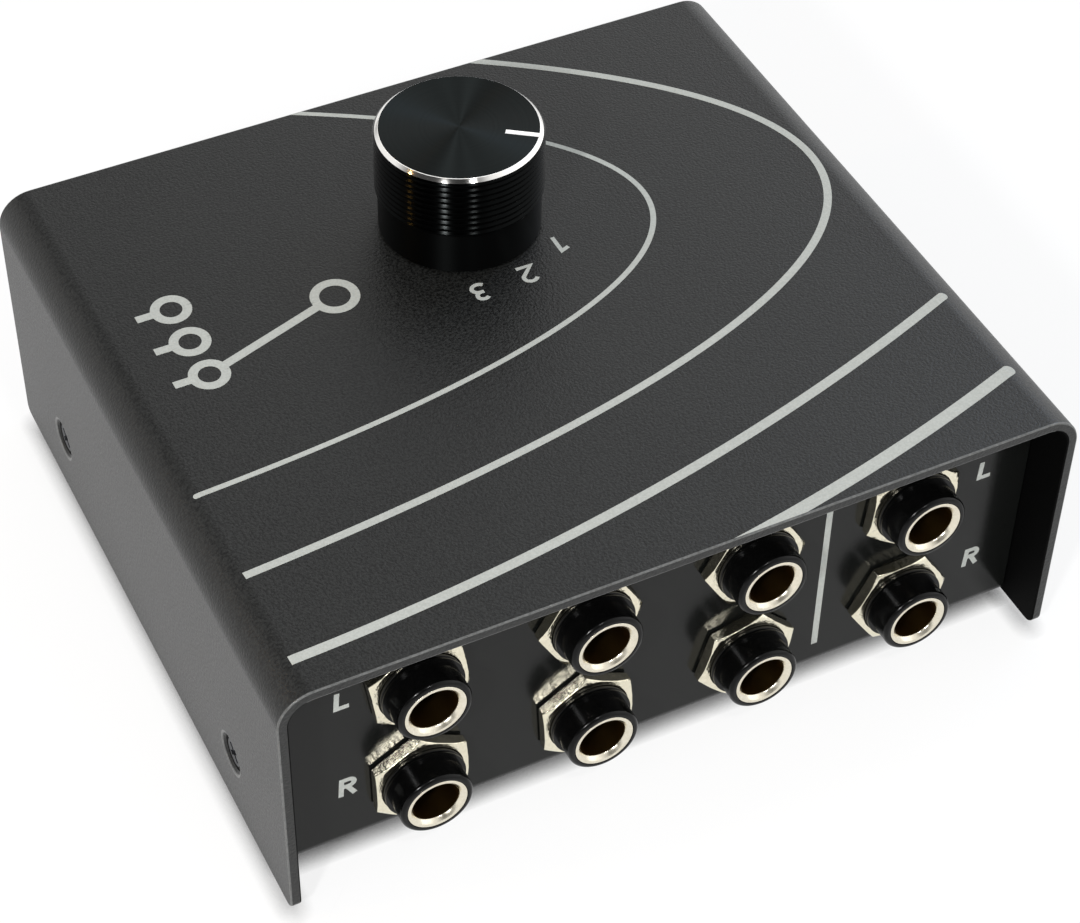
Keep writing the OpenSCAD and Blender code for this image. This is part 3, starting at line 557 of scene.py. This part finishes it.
@dataclass
class Case(SubAssembly):
    """Folded cover, chassis, cover screws and feet."""

    bend_mm: float = 5.0
    # A face of the cover that looks inward from further out than this is its inside
    inside_mm: float = 20.0
    edge: EdgeRounding = EdgeRounding(0.22, slot=1)
    chassis_edge: EdgeRounding = EdgeRounding(0.12)

    @functools.cached_property
    def top_z(self) -> float:
        """Height of the cover's top face."""
        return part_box("cover")[1].z

    @functools.cached_property
    def half_width(self) -> float:
        """Half the width across the cover's walls."""
        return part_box("cover")[1].x

    @functools.cached_property
    def half_depth(self) -> float:
        """Half the depth of the cover."""
        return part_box("cover")[1].y

    @functools.cached_property
    def panel_y(self) -> float:
        """Place of the rear panel's outer face."""
        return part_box("chassis")[1].y

    def height_at(self, x: float) -> float:
        """Height of the cover's outer face, which drops along the two long bends.

        Args:
            x: distance from the middle, in metres.

        Returns:
            The height in metres.
        """
        bend = self.bend_mm * MM
        past = abs(x) - (self.half_width - bend)
        if past <= 0:
            return self.top_z
        return self.top_z - bend + math.sqrt(bend * bend - min(past, bend) ** 2)

    def build(self) -> None:
        """Rounds the cut edges of the sheets and paints shade on the cover's inside."""
        self.edge.put_on("cover")
        self.chassis_edge.put_on("chassis")
        self.coat_inside()

    def coat_inside(self) -> None:
        """Gives the cover's faces that look into the case a darker coat, by a modifier: painted shade on the
        inside.
        """
        tree = bpy.data.node_groups.new("coat_inside", "GeometryNodeTree")
        for way in ("INPUT", "OUTPUT"):
            tree.interface.new_socket("Geometry", in_out=way, socket_type="NodeSocketGeometry")
        place = add_node(tree, "GeometryNodeInputPosition").outputs[0]
        facing = add_node(tree, "GeometryNodeInputNormal").outputs[0]
        across = add_node(tree, "ShaderNodeVectorMath", {0: place, 1: (1.0, 0.0, 1.0)}, operation="MULTIPLY")
        outward = add_node(tree, "ShaderNodeVectorMath", {
            0: across.outputs[0], 1: facing}, operation="DOT_PRODUCT")
        inward = add_node(tree, "ShaderNodeMath", {
            0: outward.outputs["Value"], 1: -self.inside_mm * MM}, operation="LESS_THAN")
        source = add_node(tree, "NodeGroupInput").outputs[0]
        shaded_inside = add_node(tree, "GeometryNodeSetMaterial", {
            "Geometry": source, "Selection": inward.outputs[0], "Material": INSIDE_PAINTED_SHADE.make()})
        add_node(tree, "NodeGroupOutput", {0: shaded_inside.outputs[0]})
        frame["nodes"]["cover"].modifiers.new("coat_inside", "NODES").node_group = tree

    def dress(self) -> None:
        """Coats the sheets and finishes the screws and feet."""
        dress_node("cover", POWDER_COAT, CHIPPED_HIGHLIT_EDGE_COAT)
        dress_node("chassis", SATIN_COAT)
        dress_node("cover_screws", SCREW_HEAD_SHADOW_RING)
        dress_node("rubber_feet", RUBBER)


@dataclass
class Jacks(SubAssembly):
    """Eight jacks with their nuts, sleeves, tip springs and wires."""

    nut_edge: EdgeRounding = EdgeRounding(0.12)
    ring_edge: EdgeRounding = EdgeRounding(0.12)
    wire_levels: int = 2

    def names(self) -> list[tuple[Column, str]]:
        """Column and name of every jack."""
        return [(column, f"{column.value}_{row.value}") for row in Row for column in Column]

    def build(self) -> None:
        """Rounds the edges of nuts and rings and smooths the wires."""
        self.nut_edge.put_on("jack_nuts")
        for _, name in self.names():
            self.ring_edge.put_on(f"jack_sleeve_{name}")
            wire = frame["nodes"][f"signal_wire_{name}"]
            wire.modifiers.new("join_seams", "WELD").merge_threshold = SEAM_MM * MM
            wire.modifiers.new("smooth_wire", "SUBSURF").render_levels = self.wire_levels

    def dress(self) -> None:
        """Gives the pieces of every jack their finishes."""
        dress_node("jack_nuts", NUT_NICKEL)
        for column, name in self.names():
            dress_node(f"jack_body_{name}", JACK_ABS)
            dress_node(f"jack_sleeve_{name}", SLEEVE_NICKEL_SHADED_BORE)
            dress_node(f"tip_spring_{name}", BRONZE)
            dress_node(f"signal_wire_{name}", WIRE_PVC[column])
        dress_node("ground_bus", TINNED)


@dataclass
class RotarySwitch(SubAssembly):
    """Switch under the cover, with its turning group."""

    finishes: dict[str, Finish] = field(default_factory=lambda: {
        "switch_bushing": ZINC,
        "lock_washer": ZINC,
        "switch_nut": NICKEL,
        "switch_housing": PHENOLIC,
        "contact_wafer": PHENOLIC,
        "throw_terminals": CONTACT,
        "common_contacts": CONTACT,
        "detent_ball": ZINC,
        "detent_spring": ZINC,
        "switch_shaft": ZINC,
        "shaft_clip": ZINC,
        "switch_rotor": ACETAL,
        "rotor_wipers": CONTACT,
        "knob_insert": INSERT_NYLON,
    })

    def dress(self) -> None:
        """Gives the switch's pieces their finishes."""
        for node, finish in self.finishes.items():
            dress_node(node, finish)


@dataclass
class Knob(SubAssembly):
    """Turned knob; the rim, the grip and the pointer line are measured down from its top."""

    chamfer_mm: float = 0.8
    rim_mm: float = 0.5
    grip_mm: float = 9.475
    line_depth_mm: float = 0.25
    edge: EdgeRounding = EdgeRounding(0.05, sharper_than_deg=30.0)

    def build(self) -> None:
        """Rounds the knob's turned edges."""
        self.edge.put_on("knob_shell")

    def dress(self) -> None:
        """Anodises the knob and cuts its rim and line bright."""
        low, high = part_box("knob_shell")
        middle = (low + high) / 2
        dress_node("knob_shell", TurnedAnodising(
            "turned_black_anodised_aluminium", (middle.x, middle.y), high.z, (high.x - low.x) / 2,
            self.chamfer_mm, self.rim_mm, self.grip_mm, self.line_depth_mm))


# Printed marks


class Place(Enum):
    """Faces that carry print."""

    TOP = "top"
    REAR = "rear"


# Steps of a stroke's round end
CAP_STEPS = 12
# A mitre stops growing where the cosine at its corner is this small
MITRE_LIMIT = 0.5


@dataclass(frozen=True)
class Stroke:
    """One pen stroke along a path of points in millimetres."""

    path: tuple[Point, ...]
    width: float
    round_ends: tuple[bool, bool] = (False, False)

    def cap(self, end: Vector, way: Vector) -> list[Point]:
        """Points of a half circle around one end.

        Args:
            end: first or last point of the path.
            way: direction in which the path leaves there.

        Returns:
            The points, anticlockwise.
        """
        start = math.degrees(math.atan2(way.y, way.x)) - 90
        half = (self.width / 2, self.width / 2)
        return arc(tuple(end), half, start, start + 180, steps=CAP_STEPS)[1:-1]

    def outline(self) -> list[Point]:
        """Works out the edge of the stroke, with mitred corners.

        Returns:
            The points, anticlockwise.
        """
        points = [Vector(p) for p in self.path]
        left, right = [], []
        for i, point in enumerate(points):
            before = (point - points[i - 1]).normalized() if i else None
            after = (points[i + 1] - point).normalized() if i + 1 < len(points) else None
            way = ((before or after) + (after or before)).normalized()
            side = Vector((-way.y, way.x))
            edge = after or before
            reach = self.width / 2 / max(MITRE_LIMIT, abs(side.dot(Vector((-edge.y, edge.x)))))
            left.append(tuple(point + side * reach))
            right.append(tuple(point - side * reach))
        head = self.cap(points[0], points[0] - points[1]) if self.round_ends[0] else []
        tail = self.cap(points[-1], points[-1] - points[-2]) if self.round_ends[1] else []
        return right + tail + left[::-1] + head

    def moved(self, by: Point) -> "Stroke":
        """The same stroke, moved by a distance."""
        return replace(self, path=tuple((x + by[0], y + by[1]) for x, y in self.path))


def arc(middle: Point, half: Point, start: float, end: float, turn: float = 0.0,
        steps: int = 24) -> list[Point]:
    """Points along a stretch of an ellipse.

    Args:
        middle: centre of the ellipse.
        half: its half axes.
        start: first angle, in degrees.
        end: last angle, in degrees.
        turn: turn of the ellipse, in degrees.
        steps: number of steps.

    Returns:
        The points from the first angle to the last.
    """
    spin = Matrix.Rotation(math.radians(turn), 2)
    angles = [math.radians(start + (end - start) * i / steps) for i in range(steps + 1)]
    spots = [spin @ Vector((half[0] * math.cos(a), half[1] * math.sin(a))) for a in angles]
    return [(middle[0] + p.x, middle[1] + p.y) for p in spots]


@dataclass(frozen=True)
class Sweep:
    """Long printed stripe along part of an ellipse on the cover, in millimetres."""

    name: str
    middle: Point
    half: Point
    turn: float
    start: Point
    end: Point
    width: float
    round_start: bool = True
    steps: int = 160

    def angle_at(self, spot: Point) -> float:
        """Angle on the ellipse that points to a spot.

        Args:
            spot: a point near the ellipse.

        Returns:
            The angle in degrees, from 0 to 360.
        """
        away = Matrix.Rotation(math.radians(-self.turn), 2) @ (Vector(spot) - Vector(self.middle))
        return math.degrees(math.atan2(away.y / self.half[1], away.x / self.half[0])) % 360

    def stroke(self) -> Stroke:
        """Draws the stripe.

        Returns:
            The stripe as one stroke, whose last end is round.
        """
        ends = (self.angle_at(self.start), self.angle_at(self.end))
        path = arc(self.middle, self.half, *ends, self.turn, self.steps)
        return Stroke(tuple(path), self.width, (self.round_start, True))


def digit_strokes(width: float) -> dict[str, list[Stroke]]:
    """Strokes of the dial's digits, from their lower left corner.

    Args:
        width: width of the pen, in millimetres.

    Returns:
        The strokes of each digit.
    """
    return {
        "1": [Stroke(((0.0, 2.65), (1.2, 3.1), (1.2, 0.0)), width)],
        "2": [Stroke((*arc((1.1, 2.2), (0.95, 0.85), 155, -25, steps=14), (0.1, 0.0), (2.3, 0.0)), width)],
        "3": [
            Stroke((*arc((0.95, 2.3), (0.8, 0.72), 140, -90, steps=14), (0.5, 1.58)), width),
            Stroke(((0.5, 1.58), *arc((0.95, 0.78), (1.0, 0.8), 90, -145, steps=14)), width),
        ],
    }


def letter_strokes(width: float) -> dict[str, list[Stroke]]:
    """Strokes of the channel letters, from their lower left corner.

    Args:
        width: width of the pen, in millimetres.

    Returns:
        The strokes of each letter.
    """
    return {
        "L": [Stroke(((0.2, 2.9), (0.0, 0.0), (1.75, 0.0)), width)],
        "R": [
            Stroke(((0.0, -0.35), (0.22, 3.11)), width),
            Stroke(((-0.14, 2.75), *arc((1.2, 2.1), (0.7, 0.65), 90, -90, steps=10), (0.15, 1.45)), width),
            Stroke(((0.95, 1.45), (1.95, -0.35)), width),
        ],
    }


# What the triangulation keeps: only the triangles inside the outlines
TRIANGLES_INSIDE = 1
# Points of crossing strokes that lie this close are one point
JOIN_MM = 1e-6


@dataclass
class PrintedMarks(SubAssembly):
    """Ink on the cover and the rear panel: stripes, digits, letters, a divider and a switch diagram."""

    case: Case
    ink_mm: float = 0.03
    sink_mm: float = 0.01
    # Narrow strips in which ink follows the start of the cover's bends
    strip_mm: float = 0.3
    strips: int = 4
    digit_pen: float = 0.6
    letter_pen: float = 0.72
    diagram_pen: float = 1.3
    sweeps: tuple[Sweep, ...] = (
        Sweep("stripe_inner", (263.0, -64.4), (293.7, 61.0), -10.4, (52.5, 15.1), (16.0, -53.0), 0.8),
        Sweep("stripe_second", (342.9, -74.9), (400.0, 84.2), -9.7, (51.5, 30.6), (-12.5, -53.5), 1.15,
              round_start=False),
        Sweep("stripe_third", (64.3, -276.8), (322.3, 322.3), 0.0, (52.7, 45.5), (-52.4, 23.0), 1.45,
              round_start=False),
        Sweep("stripe_outer", (40.1, -230.9), (286.2, 286.2), 0.0, (-4.0, 52.5), (-52.6, 39.4), 1.85),
    )
    digits: tuple[tuple[str, Point], ...] = (("1", (-11.2, -10.2)), ("2", (-4.8, -6.3)), ("3", (2.8, -5.8)))
    # Letter and its lower left corner as it is read from behind, so the first number grows towards -X
    letters: tuple[tuple[str, str, Point], ...] = (
        ("letter_l_inputs", "L", (-46.7, 29.3)),
        ("letter_r_inputs", "R", (-46.7, 12.1)),
        ("letter_l_output", "L", (47.5, 28.7)),
        ("letter_r_output", "R", (47.5, 11.4)),
    )
    divider: Stroke = Stroke(((23.9, 6.6), (23.9, 37.7)), 0.95)
    # Diagram of a switch with three ways, in the place of a name plate
    ways_x: float = 43.0
    ways_y: tuple[float, ...] = (-5.0, -12.0, -19.0)
    way_r: float = 2.2
    pole_x: float = 22.0
    pole_r: float = 2.8
    lead: float = 5.0

    def lay(self, place: Place, spot: Point, lift_mm: float) -> Vector:
        """Puts a printed point on its face.

        Args:
            place: the face.
            spot: the point as it is read, in millimetres.
            lift_mm: height over the face.

        Returns:
            The point in the frame.
        """
        x, y, lift = spot[0] * MM, spot[1] * MM, lift_mm * MM
        if place is Place.TOP:
            return Vector((x, y, self.case.height_at(x) + lift))
        return Vector((-x, self.case.panel_y + lift, y))

    def fill(self, strokes: Sequence[Stroke]) -> bmesh.types.BMesh:
        """Fills strokes with one flat skin, at the depth that the ink sinks to.

        Args:
            strokes: pen strokes, which may cross.

        Returns:
            The skin, in millimetres.
        """
        corners, rings = [], []
        for stroke in strokes:
            outline = stroke.outline()
            rings.append(list(range(len(corners), len(corners) + len(outline))))
            corners += [Vector(p) for p in outline]
        spots, _, triangles, _, _, owners = delaunay_2d_cdt(corners, [], rings, TRIANGLES_INSIDE, JOIN_MM)
        skin = bmesh.new()
        points = [skin.verts.new((p.x, p.y, -self.sink_mm)) for p in spots]
        for triangle in (t for t, owner in zip(triangles, owners) if owner):
            skin.faces.new([points[i] for i in triangle])
        bmesh.ops.delete(skin, geom=[v for v in skin.verts if not v.link_faces], context="VERTS")
        return skin

    def trim_to_top(self, skin: bmesh.types.BMesh) -> None:
        """Cuts a skin into strips on the cover's bends and off at its front and rear edges.

        Args:
            skin: flat skin, in millimetres.
        """
        bend = self.case.half_width / MM - self.case.bend_mm
        limit = self.case.half_depth / MM - self.case.edge.width_mm
        for way in (-1, 1):
            for i in range(self.strips):
                across = way * (bend + self.strip_mm * i)
                bmesh.ops.bisect_plane(skin, geom=skin.verts[:] + skin.edges[:] + skin.faces[:],
                                       plane_co=(across, 0, 0), plane_no=(1, 0, 0))
            bmesh.ops.bisect_plane(skin, geom=skin.verts[:] + skin.edges[:] + skin.faces[:],
                                   plane_co=(0, way * limit, 0), plane_no=(0, way, 0), clear_outer=True)

    def print_mark(self, name: str, place: Place, strokes: Sequence[Stroke]) -> None:
        """Makes one mark as a thin closed skin of ink.

        Args:
            name: name of the piece.
            place: the face that carries it.
            strokes: its pen strokes, which may cross.
        """
        skin = self.fill(strokes)
        if place is Place.TOP:
            self.trim_to_top(skin)
        raised = bmesh.ops.extrude_face_region(skin, geom=skin.faces[:])
        for vert in (v for v in raised["geom"] if isinstance(v, bmesh.types.BMVert)):
            vert.co.z = self.ink_mm
        for vert in skin.verts:
            vert.co = self.lay(place, (vert.co.x, vert.co.y), vert.co.z)
        bmesh.ops.recalc_face_normals(skin, faces=skin.faces[:])
        mesh = bpy.data.meshes.new(name)
        skin.to_mesh(mesh)
        skin.free()
        mesh.materials.append(INK.make())
        piece = bpy.data.objects.new(name, mesh)
        bpy.context.scene.collection.objects.link(piece)
        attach(piece, Body.CASE.value)
        LOG.info("printed %s", name)

    def diagram(self) -> list[Stroke]:
        """Draws the switch diagram: three ways with their leads, a pole and an arm on the first way.

        Returns:
            The strokes.
        """
        strokes = []
        rings = [((self.ways_x, y), self.way_r) for y in self.ways_y]
        rings.append(((self.pole_x, self.ways_y[1]), self.pole_r))
        for middle, r in rings:
            strokes += [Stroke(tuple(arc(middle, (r, r), a, a + 180)), self.diagram_pen) for a in (0, 180)]
        for y in self.ways_y:
            lead = (self.ways_x + self.way_r, y), (self.ways_x + self.lead, y)
            strokes.append(Stroke(lead, self.diagram_pen))
        pole = Vector((self.pole_x, self.ways_y[1]))
        first = Vector((self.ways_x, self.ways_y[0]))
        way = (first - pole).normalized()
        arm = tuple(pole + way * self.pole_r), tuple(first - way * self.way_r)
        strokes.append(Stroke(arm, self.diagram_pen))
        return strokes

    def build(self) -> None:
        """Prints every mark."""
        for sweep in self.sweeps:
            self.print_mark(sweep.name, Place.TOP, [sweep.stroke()])
        shapes = digit_strokes(self.digit_pen)
        for digit, spot in self.digits:
            self.print_mark(f"digit_{digit}", Place.TOP, [s.moved(spot) for s in shapes[digit]])
        shapes = letter_strokes(self.letter_pen)
        for name, letter, spot in self.letters:
            self.print_mark(name, Place.REAR, [s.moved(spot) for s in shapes[letter]])
        self.print_mark("output_divider", Place.REAR, [self.divider])
        self.print_mark("switch_diagram", Place.TOP, self.diagram())


# Studio


@dataclass(frozen=True)
class Lamp:
    """A small square lamp that shines at the frame's origin; its size and distance are in metres."""

    name: str
    way: tuple[float, float, float]
    power: float
    size: float
    distance: float = 0.7
    colour: str = "#ffffff"

    def hang(self) -> None:
        """Hangs the lamp in its place."""
        light = bpy.data.lights.new(self.name, "AREA")
        light.shape = "SQUARE"
        light.size = self.size
        light.energy = self.power
        light.color = linear(self.colour)[:3]
        lamp = bpy.data.objects.new(self.name, light)
        way = Vector(self.way).normalized()
        lamp.location = way * self.distance
        lamp.rotation_mode = "QUATERNION"
        lamp.rotation_quaternion = (-way).to_track_quat("-Z", "Y")
        bpy.context.scene.collection.objects.link(lamp)


@dataclass
class Studio:
    """White floor, soft light all round, four lamps and the camera at the photograph's angle."""

    # In metres
    floor_size: float = 6.0
    floor_colour: str = "#fafafa"
    floor_glow: float = 0.8
    painted_shadow_mm: float = 3.0
    # Share of open sky where the painted contact shadow makes the floor black, and where it has its full
    # light
    contact: tuple[float, float] = (0.42, 0.95)
    ambient: float = 0.7
    # The room as mirrors see it, by the X of the way they look: a window that fades out at plain_x, and
    # a dim gap, each with an X and a strength
    window: tuple[float, float] = (-0.85, 1.8)
    plain_x: float = -0.3
    gap: tuple[float, float] = (0.1, 0.3)
    gap_reach: float = 0.45
    # A dark corner: its strength, the way to it, and the cosines where it begins and is darkest
    corner: float = 0.05
    corner_way: tuple[float, float, float] = (0.585, 0.398, 0.707)
    corner_reach: tuple[float, float] = (0.6, 0.92)
    lamps: tuple[Lamp, ...] = (
        Lamp("key_spot", (0.57, 0.56, 0.6), 2.6, 0.045),
        Lamp("second_spot", (0.04, 0.57, 0.82), 0.9, 0.04),
        Lamp("warm_spot", (0.76, -0.08, 0.64), 0.3, 0.03, colour="#ffbf60"),
        Lamp("cool_fill", (-0.7, -0.2, 0.68), 0.5, 0.2, colour="#b8d8ff"),
    )
    azimuth: float = 152.868
    elevation: float = 45.397
    roll: float = 1.119
    distance_mm: float = 402.171
    target_mm: tuple[float, float, float] = (-1.75, 3.585, 14.927)
    focal_px: float = 2833.777
    sensor_mm: float = 36.0
    clip_mm: float = 10.0

    def seen(self, tree: bpy.types.NodeTree) -> bpy.types.NodeSocket:
        """Adds the test for rays that show the background: from the camera, a mirror or glass.

        Args:
            tree: node tree that takes the nodes.

        Returns:
            A socket that is 1 for such rays.
        """
        path = add_node(tree, "ShaderNodeLightPath")
        shiny = add_node(tree, "ShaderNodeMath", {
            0: path.outputs["Is Camera Ray"], 1: path.outputs["Is Glossy Ray"]}, operation="MAXIMUM")
        return add_node(tree, "ShaderNodeMath", {
            0: shiny.outputs[0], 1: path.outputs["Is Transmission Ray"]}, operation="MAXIMUM").outputs[0]

    def lay_floor(self) -> None:
        """Lays a white floor that keeps the object's shadow, with a painted contact shadow that darkens its
        colour and glow where the two come close.
        """
        half = self.floor_size / 2
        mesh = bpy.data.meshes.new("studio_floor")
        corners = [(-half, -half, 0), (half, -half, 0), (half, half, 0), (-half, half, 0)]
        mesh.from_pydata(corners, [], [(0, 1, 2, 3)])
        floor = bpy.data.objects.new("studio_floor", mesh)
        bpy.context.scene.collection.objects.link(floor)
        material = bpy.data.materials.new("white_paper_sweep")
        material.use_nodes = True
        tree = material.node_tree
        tree.nodes.clear()
        # Painted contact shadow: an occlusion mask darkens the paper's colour and glow near the object
        open_sky = add_node(tree, "ShaderNodeAmbientOcclusion", {
            "Distance": self.painted_shadow_mm * MM}, samples=8)
        level = add_node(tree, "ShaderNodeMapRange", {
            "Value": open_sky.outputs["AO"], "From Min": self.contact[0], "From Max": self.contact[1]})
        paper_with_painted_shadow = add_node(tree, "ShaderNodeVectorMath", {
            0: linear(self.floor_colour)[:3], "Scale": level.outputs[0]}, operation="SCALE")
        paper = add_node(tree, "ShaderNodeBsdfDiffuse", {"Color": paper_with_painted_shadow.outputs[0]})
        glow = add_node(tree, "ShaderNodeEmission", {"Color": (1, 1, 1, 1), "Strength": level.outputs[0]})
        share = add_node(tree, "ShaderNodeMath", {
            0: self.seen(tree), 1: self.floor_glow}, operation="MULTIPLY")
        mixed = add_node(tree, "ShaderNodeMixShader", {
            0: share.outputs[0], 1: paper.outputs[0], 2: glow.outputs[0]})
        add_node(tree, "ShaderNodeOutputMaterial", {"Surface": mixed.outputs[0]})
        mesh.materials.append(material)

    def light_room(self) -> None:
        """Sets even light all round; mirrors see a window side, a dim gap and a dark corner in it."""
        world = bpy.data.worlds.new("studio_room")
        bpy.context.scene.world = world
        world.use_nodes = True
        tree = world.node_tree
        tree.nodes.clear()
        way = add_node(tree, "ShaderNodeTexCoord").outputs["Generated"]
        across = add_node(tree, "ShaderNodeSeparateXYZ", {0: way}).outputs["X"]
        window = add_node(tree, "ShaderNodeMapRange", {
            "Value": across, "From Min": self.window[0], "From Max": self.plain_x,
            "To Min": self.window[1], "To Max": 1.0}, interpolation_type="SMOOTHSTEP")
        off = add_node(tree, "ShaderNodeMath", {0: across, 1: self.gap[0]}, operation="SUBTRACT")
        aside = add_node(tree, "ShaderNodeMath", {0: off.outputs[0]}, operation="ABSOLUTE")
        gap = add_node(tree, "ShaderNodeMapRange", {
            "Value": aside.outputs[0], "From Max": self.gap_reach,
            "To Min": self.gap[1], "To Max": 1.0}, interpolation_type="SMOOTHSTEP")
        near = add_node(tree, "ShaderNodeVectorMath", {
            0: way, 1: Vector(self.corner_way).normalized()}, operation="DOT_PRODUCT").outputs["Value"]
        corner = add_node(tree, "ShaderNodeMapRange", {
            "Value": near, "From Min": self.corner_reach[0], "From Max": self.corner_reach[1],
            "To Min": 1.0, "To Max": self.corner}, interpolation_type="SMOOTHSTEP")
        lit = add_node(tree, "ShaderNodeMath", {
            0: window.outputs[0], 1: gap.outputs[0]}, operation="MULTIPLY")
        room = add_node(tree, "ShaderNodeMath", {
            0: lit.outputs[0], 1: corner.outputs[0]}, operation="MULTIPLY")
        level = add_node(tree, "ShaderNodeMix", {
            0: self.seen(tree), 2: self.ambient, 3: room.outputs[0]}, data_type="FLOAT")
        light = add_node(tree, "ShaderNodeBackground", {"Color": (1, 1, 1, 1), "Strength": level.outputs[0]})
        add_node(tree, "ShaderNodeOutputWorld", {"Surface": light.outputs[0]})

    def set_camera(self) -> None:
        """Stands the camera where the photograph was taken."""
        a, e, roll = (math.radians(v) for v in (self.azimuth, self.elevation, self.roll))
        back = Vector((math.sin(a) * math.cos(e), -math.cos(a) * math.cos(e), math.sin(e)))
        right = Vector((math.cos(a), math.sin(a), 0))
        up = back.cross(right)
        across = right * math.cos(roll) + up * math.sin(roll)
        upward = up * math.cos(roll) - right * math.sin(roll)
        data = bpy.data.cameras.new("photo_camera")
        data.sensor_fit = "HORIZONTAL"
        data.sensor_width = self.sensor_mm
        data.lens = self.focal_px / IMAGE_W * self.sensor_mm
        data.clip_start = self.clip_mm * MM
        camera = bpy.data.objects.new("photo_camera", data)
        spot = Vector(self.target_mm) * MM + back * self.distance_mm * MM
        camera.matrix_world = Matrix.Translation(spot) @ Matrix((across, upward, back)).transposed().to_4x4()
        bpy.context.scene.collection.objects.link(camera)
        bpy.context.scene.camera = camera

    def build(self) -> None:
        """Builds the studio."""
        bpy.context.scene.view_settings.view_transform = "Standard"
        self.lay_floor()
        self.light_room()
        for lamp in self.lamps:
            lamp.hang()
        self.set_camera()


def clear_stock() -> None:
    """Removes what a new file holds, so that only the frame is left."""
    kept = {*frame["nodes"].values(), *frame["bodies"].values()}
    for thing in [o for o in bpy.data.objects if o not in kept]:
        bpy.data.objects.remove(thing)
    bpy.context.view_layer.update()


def main() -> None:
    """Builds and dresses the object, then the studio."""
    logging.basicConfig(level=logging.INFO, format="%(name)s: %(message)s")
    clear_stock()
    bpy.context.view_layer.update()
    case = Case()
    for assembly in (case, Jacks(), RotarySwitch(), Knob(), PrintedMarks(case)):
        assembly.build()
        assembly.dress()
    Studio().build()
    bpy.context.view_layer.update()


if __name__ == "__main__":
    main()
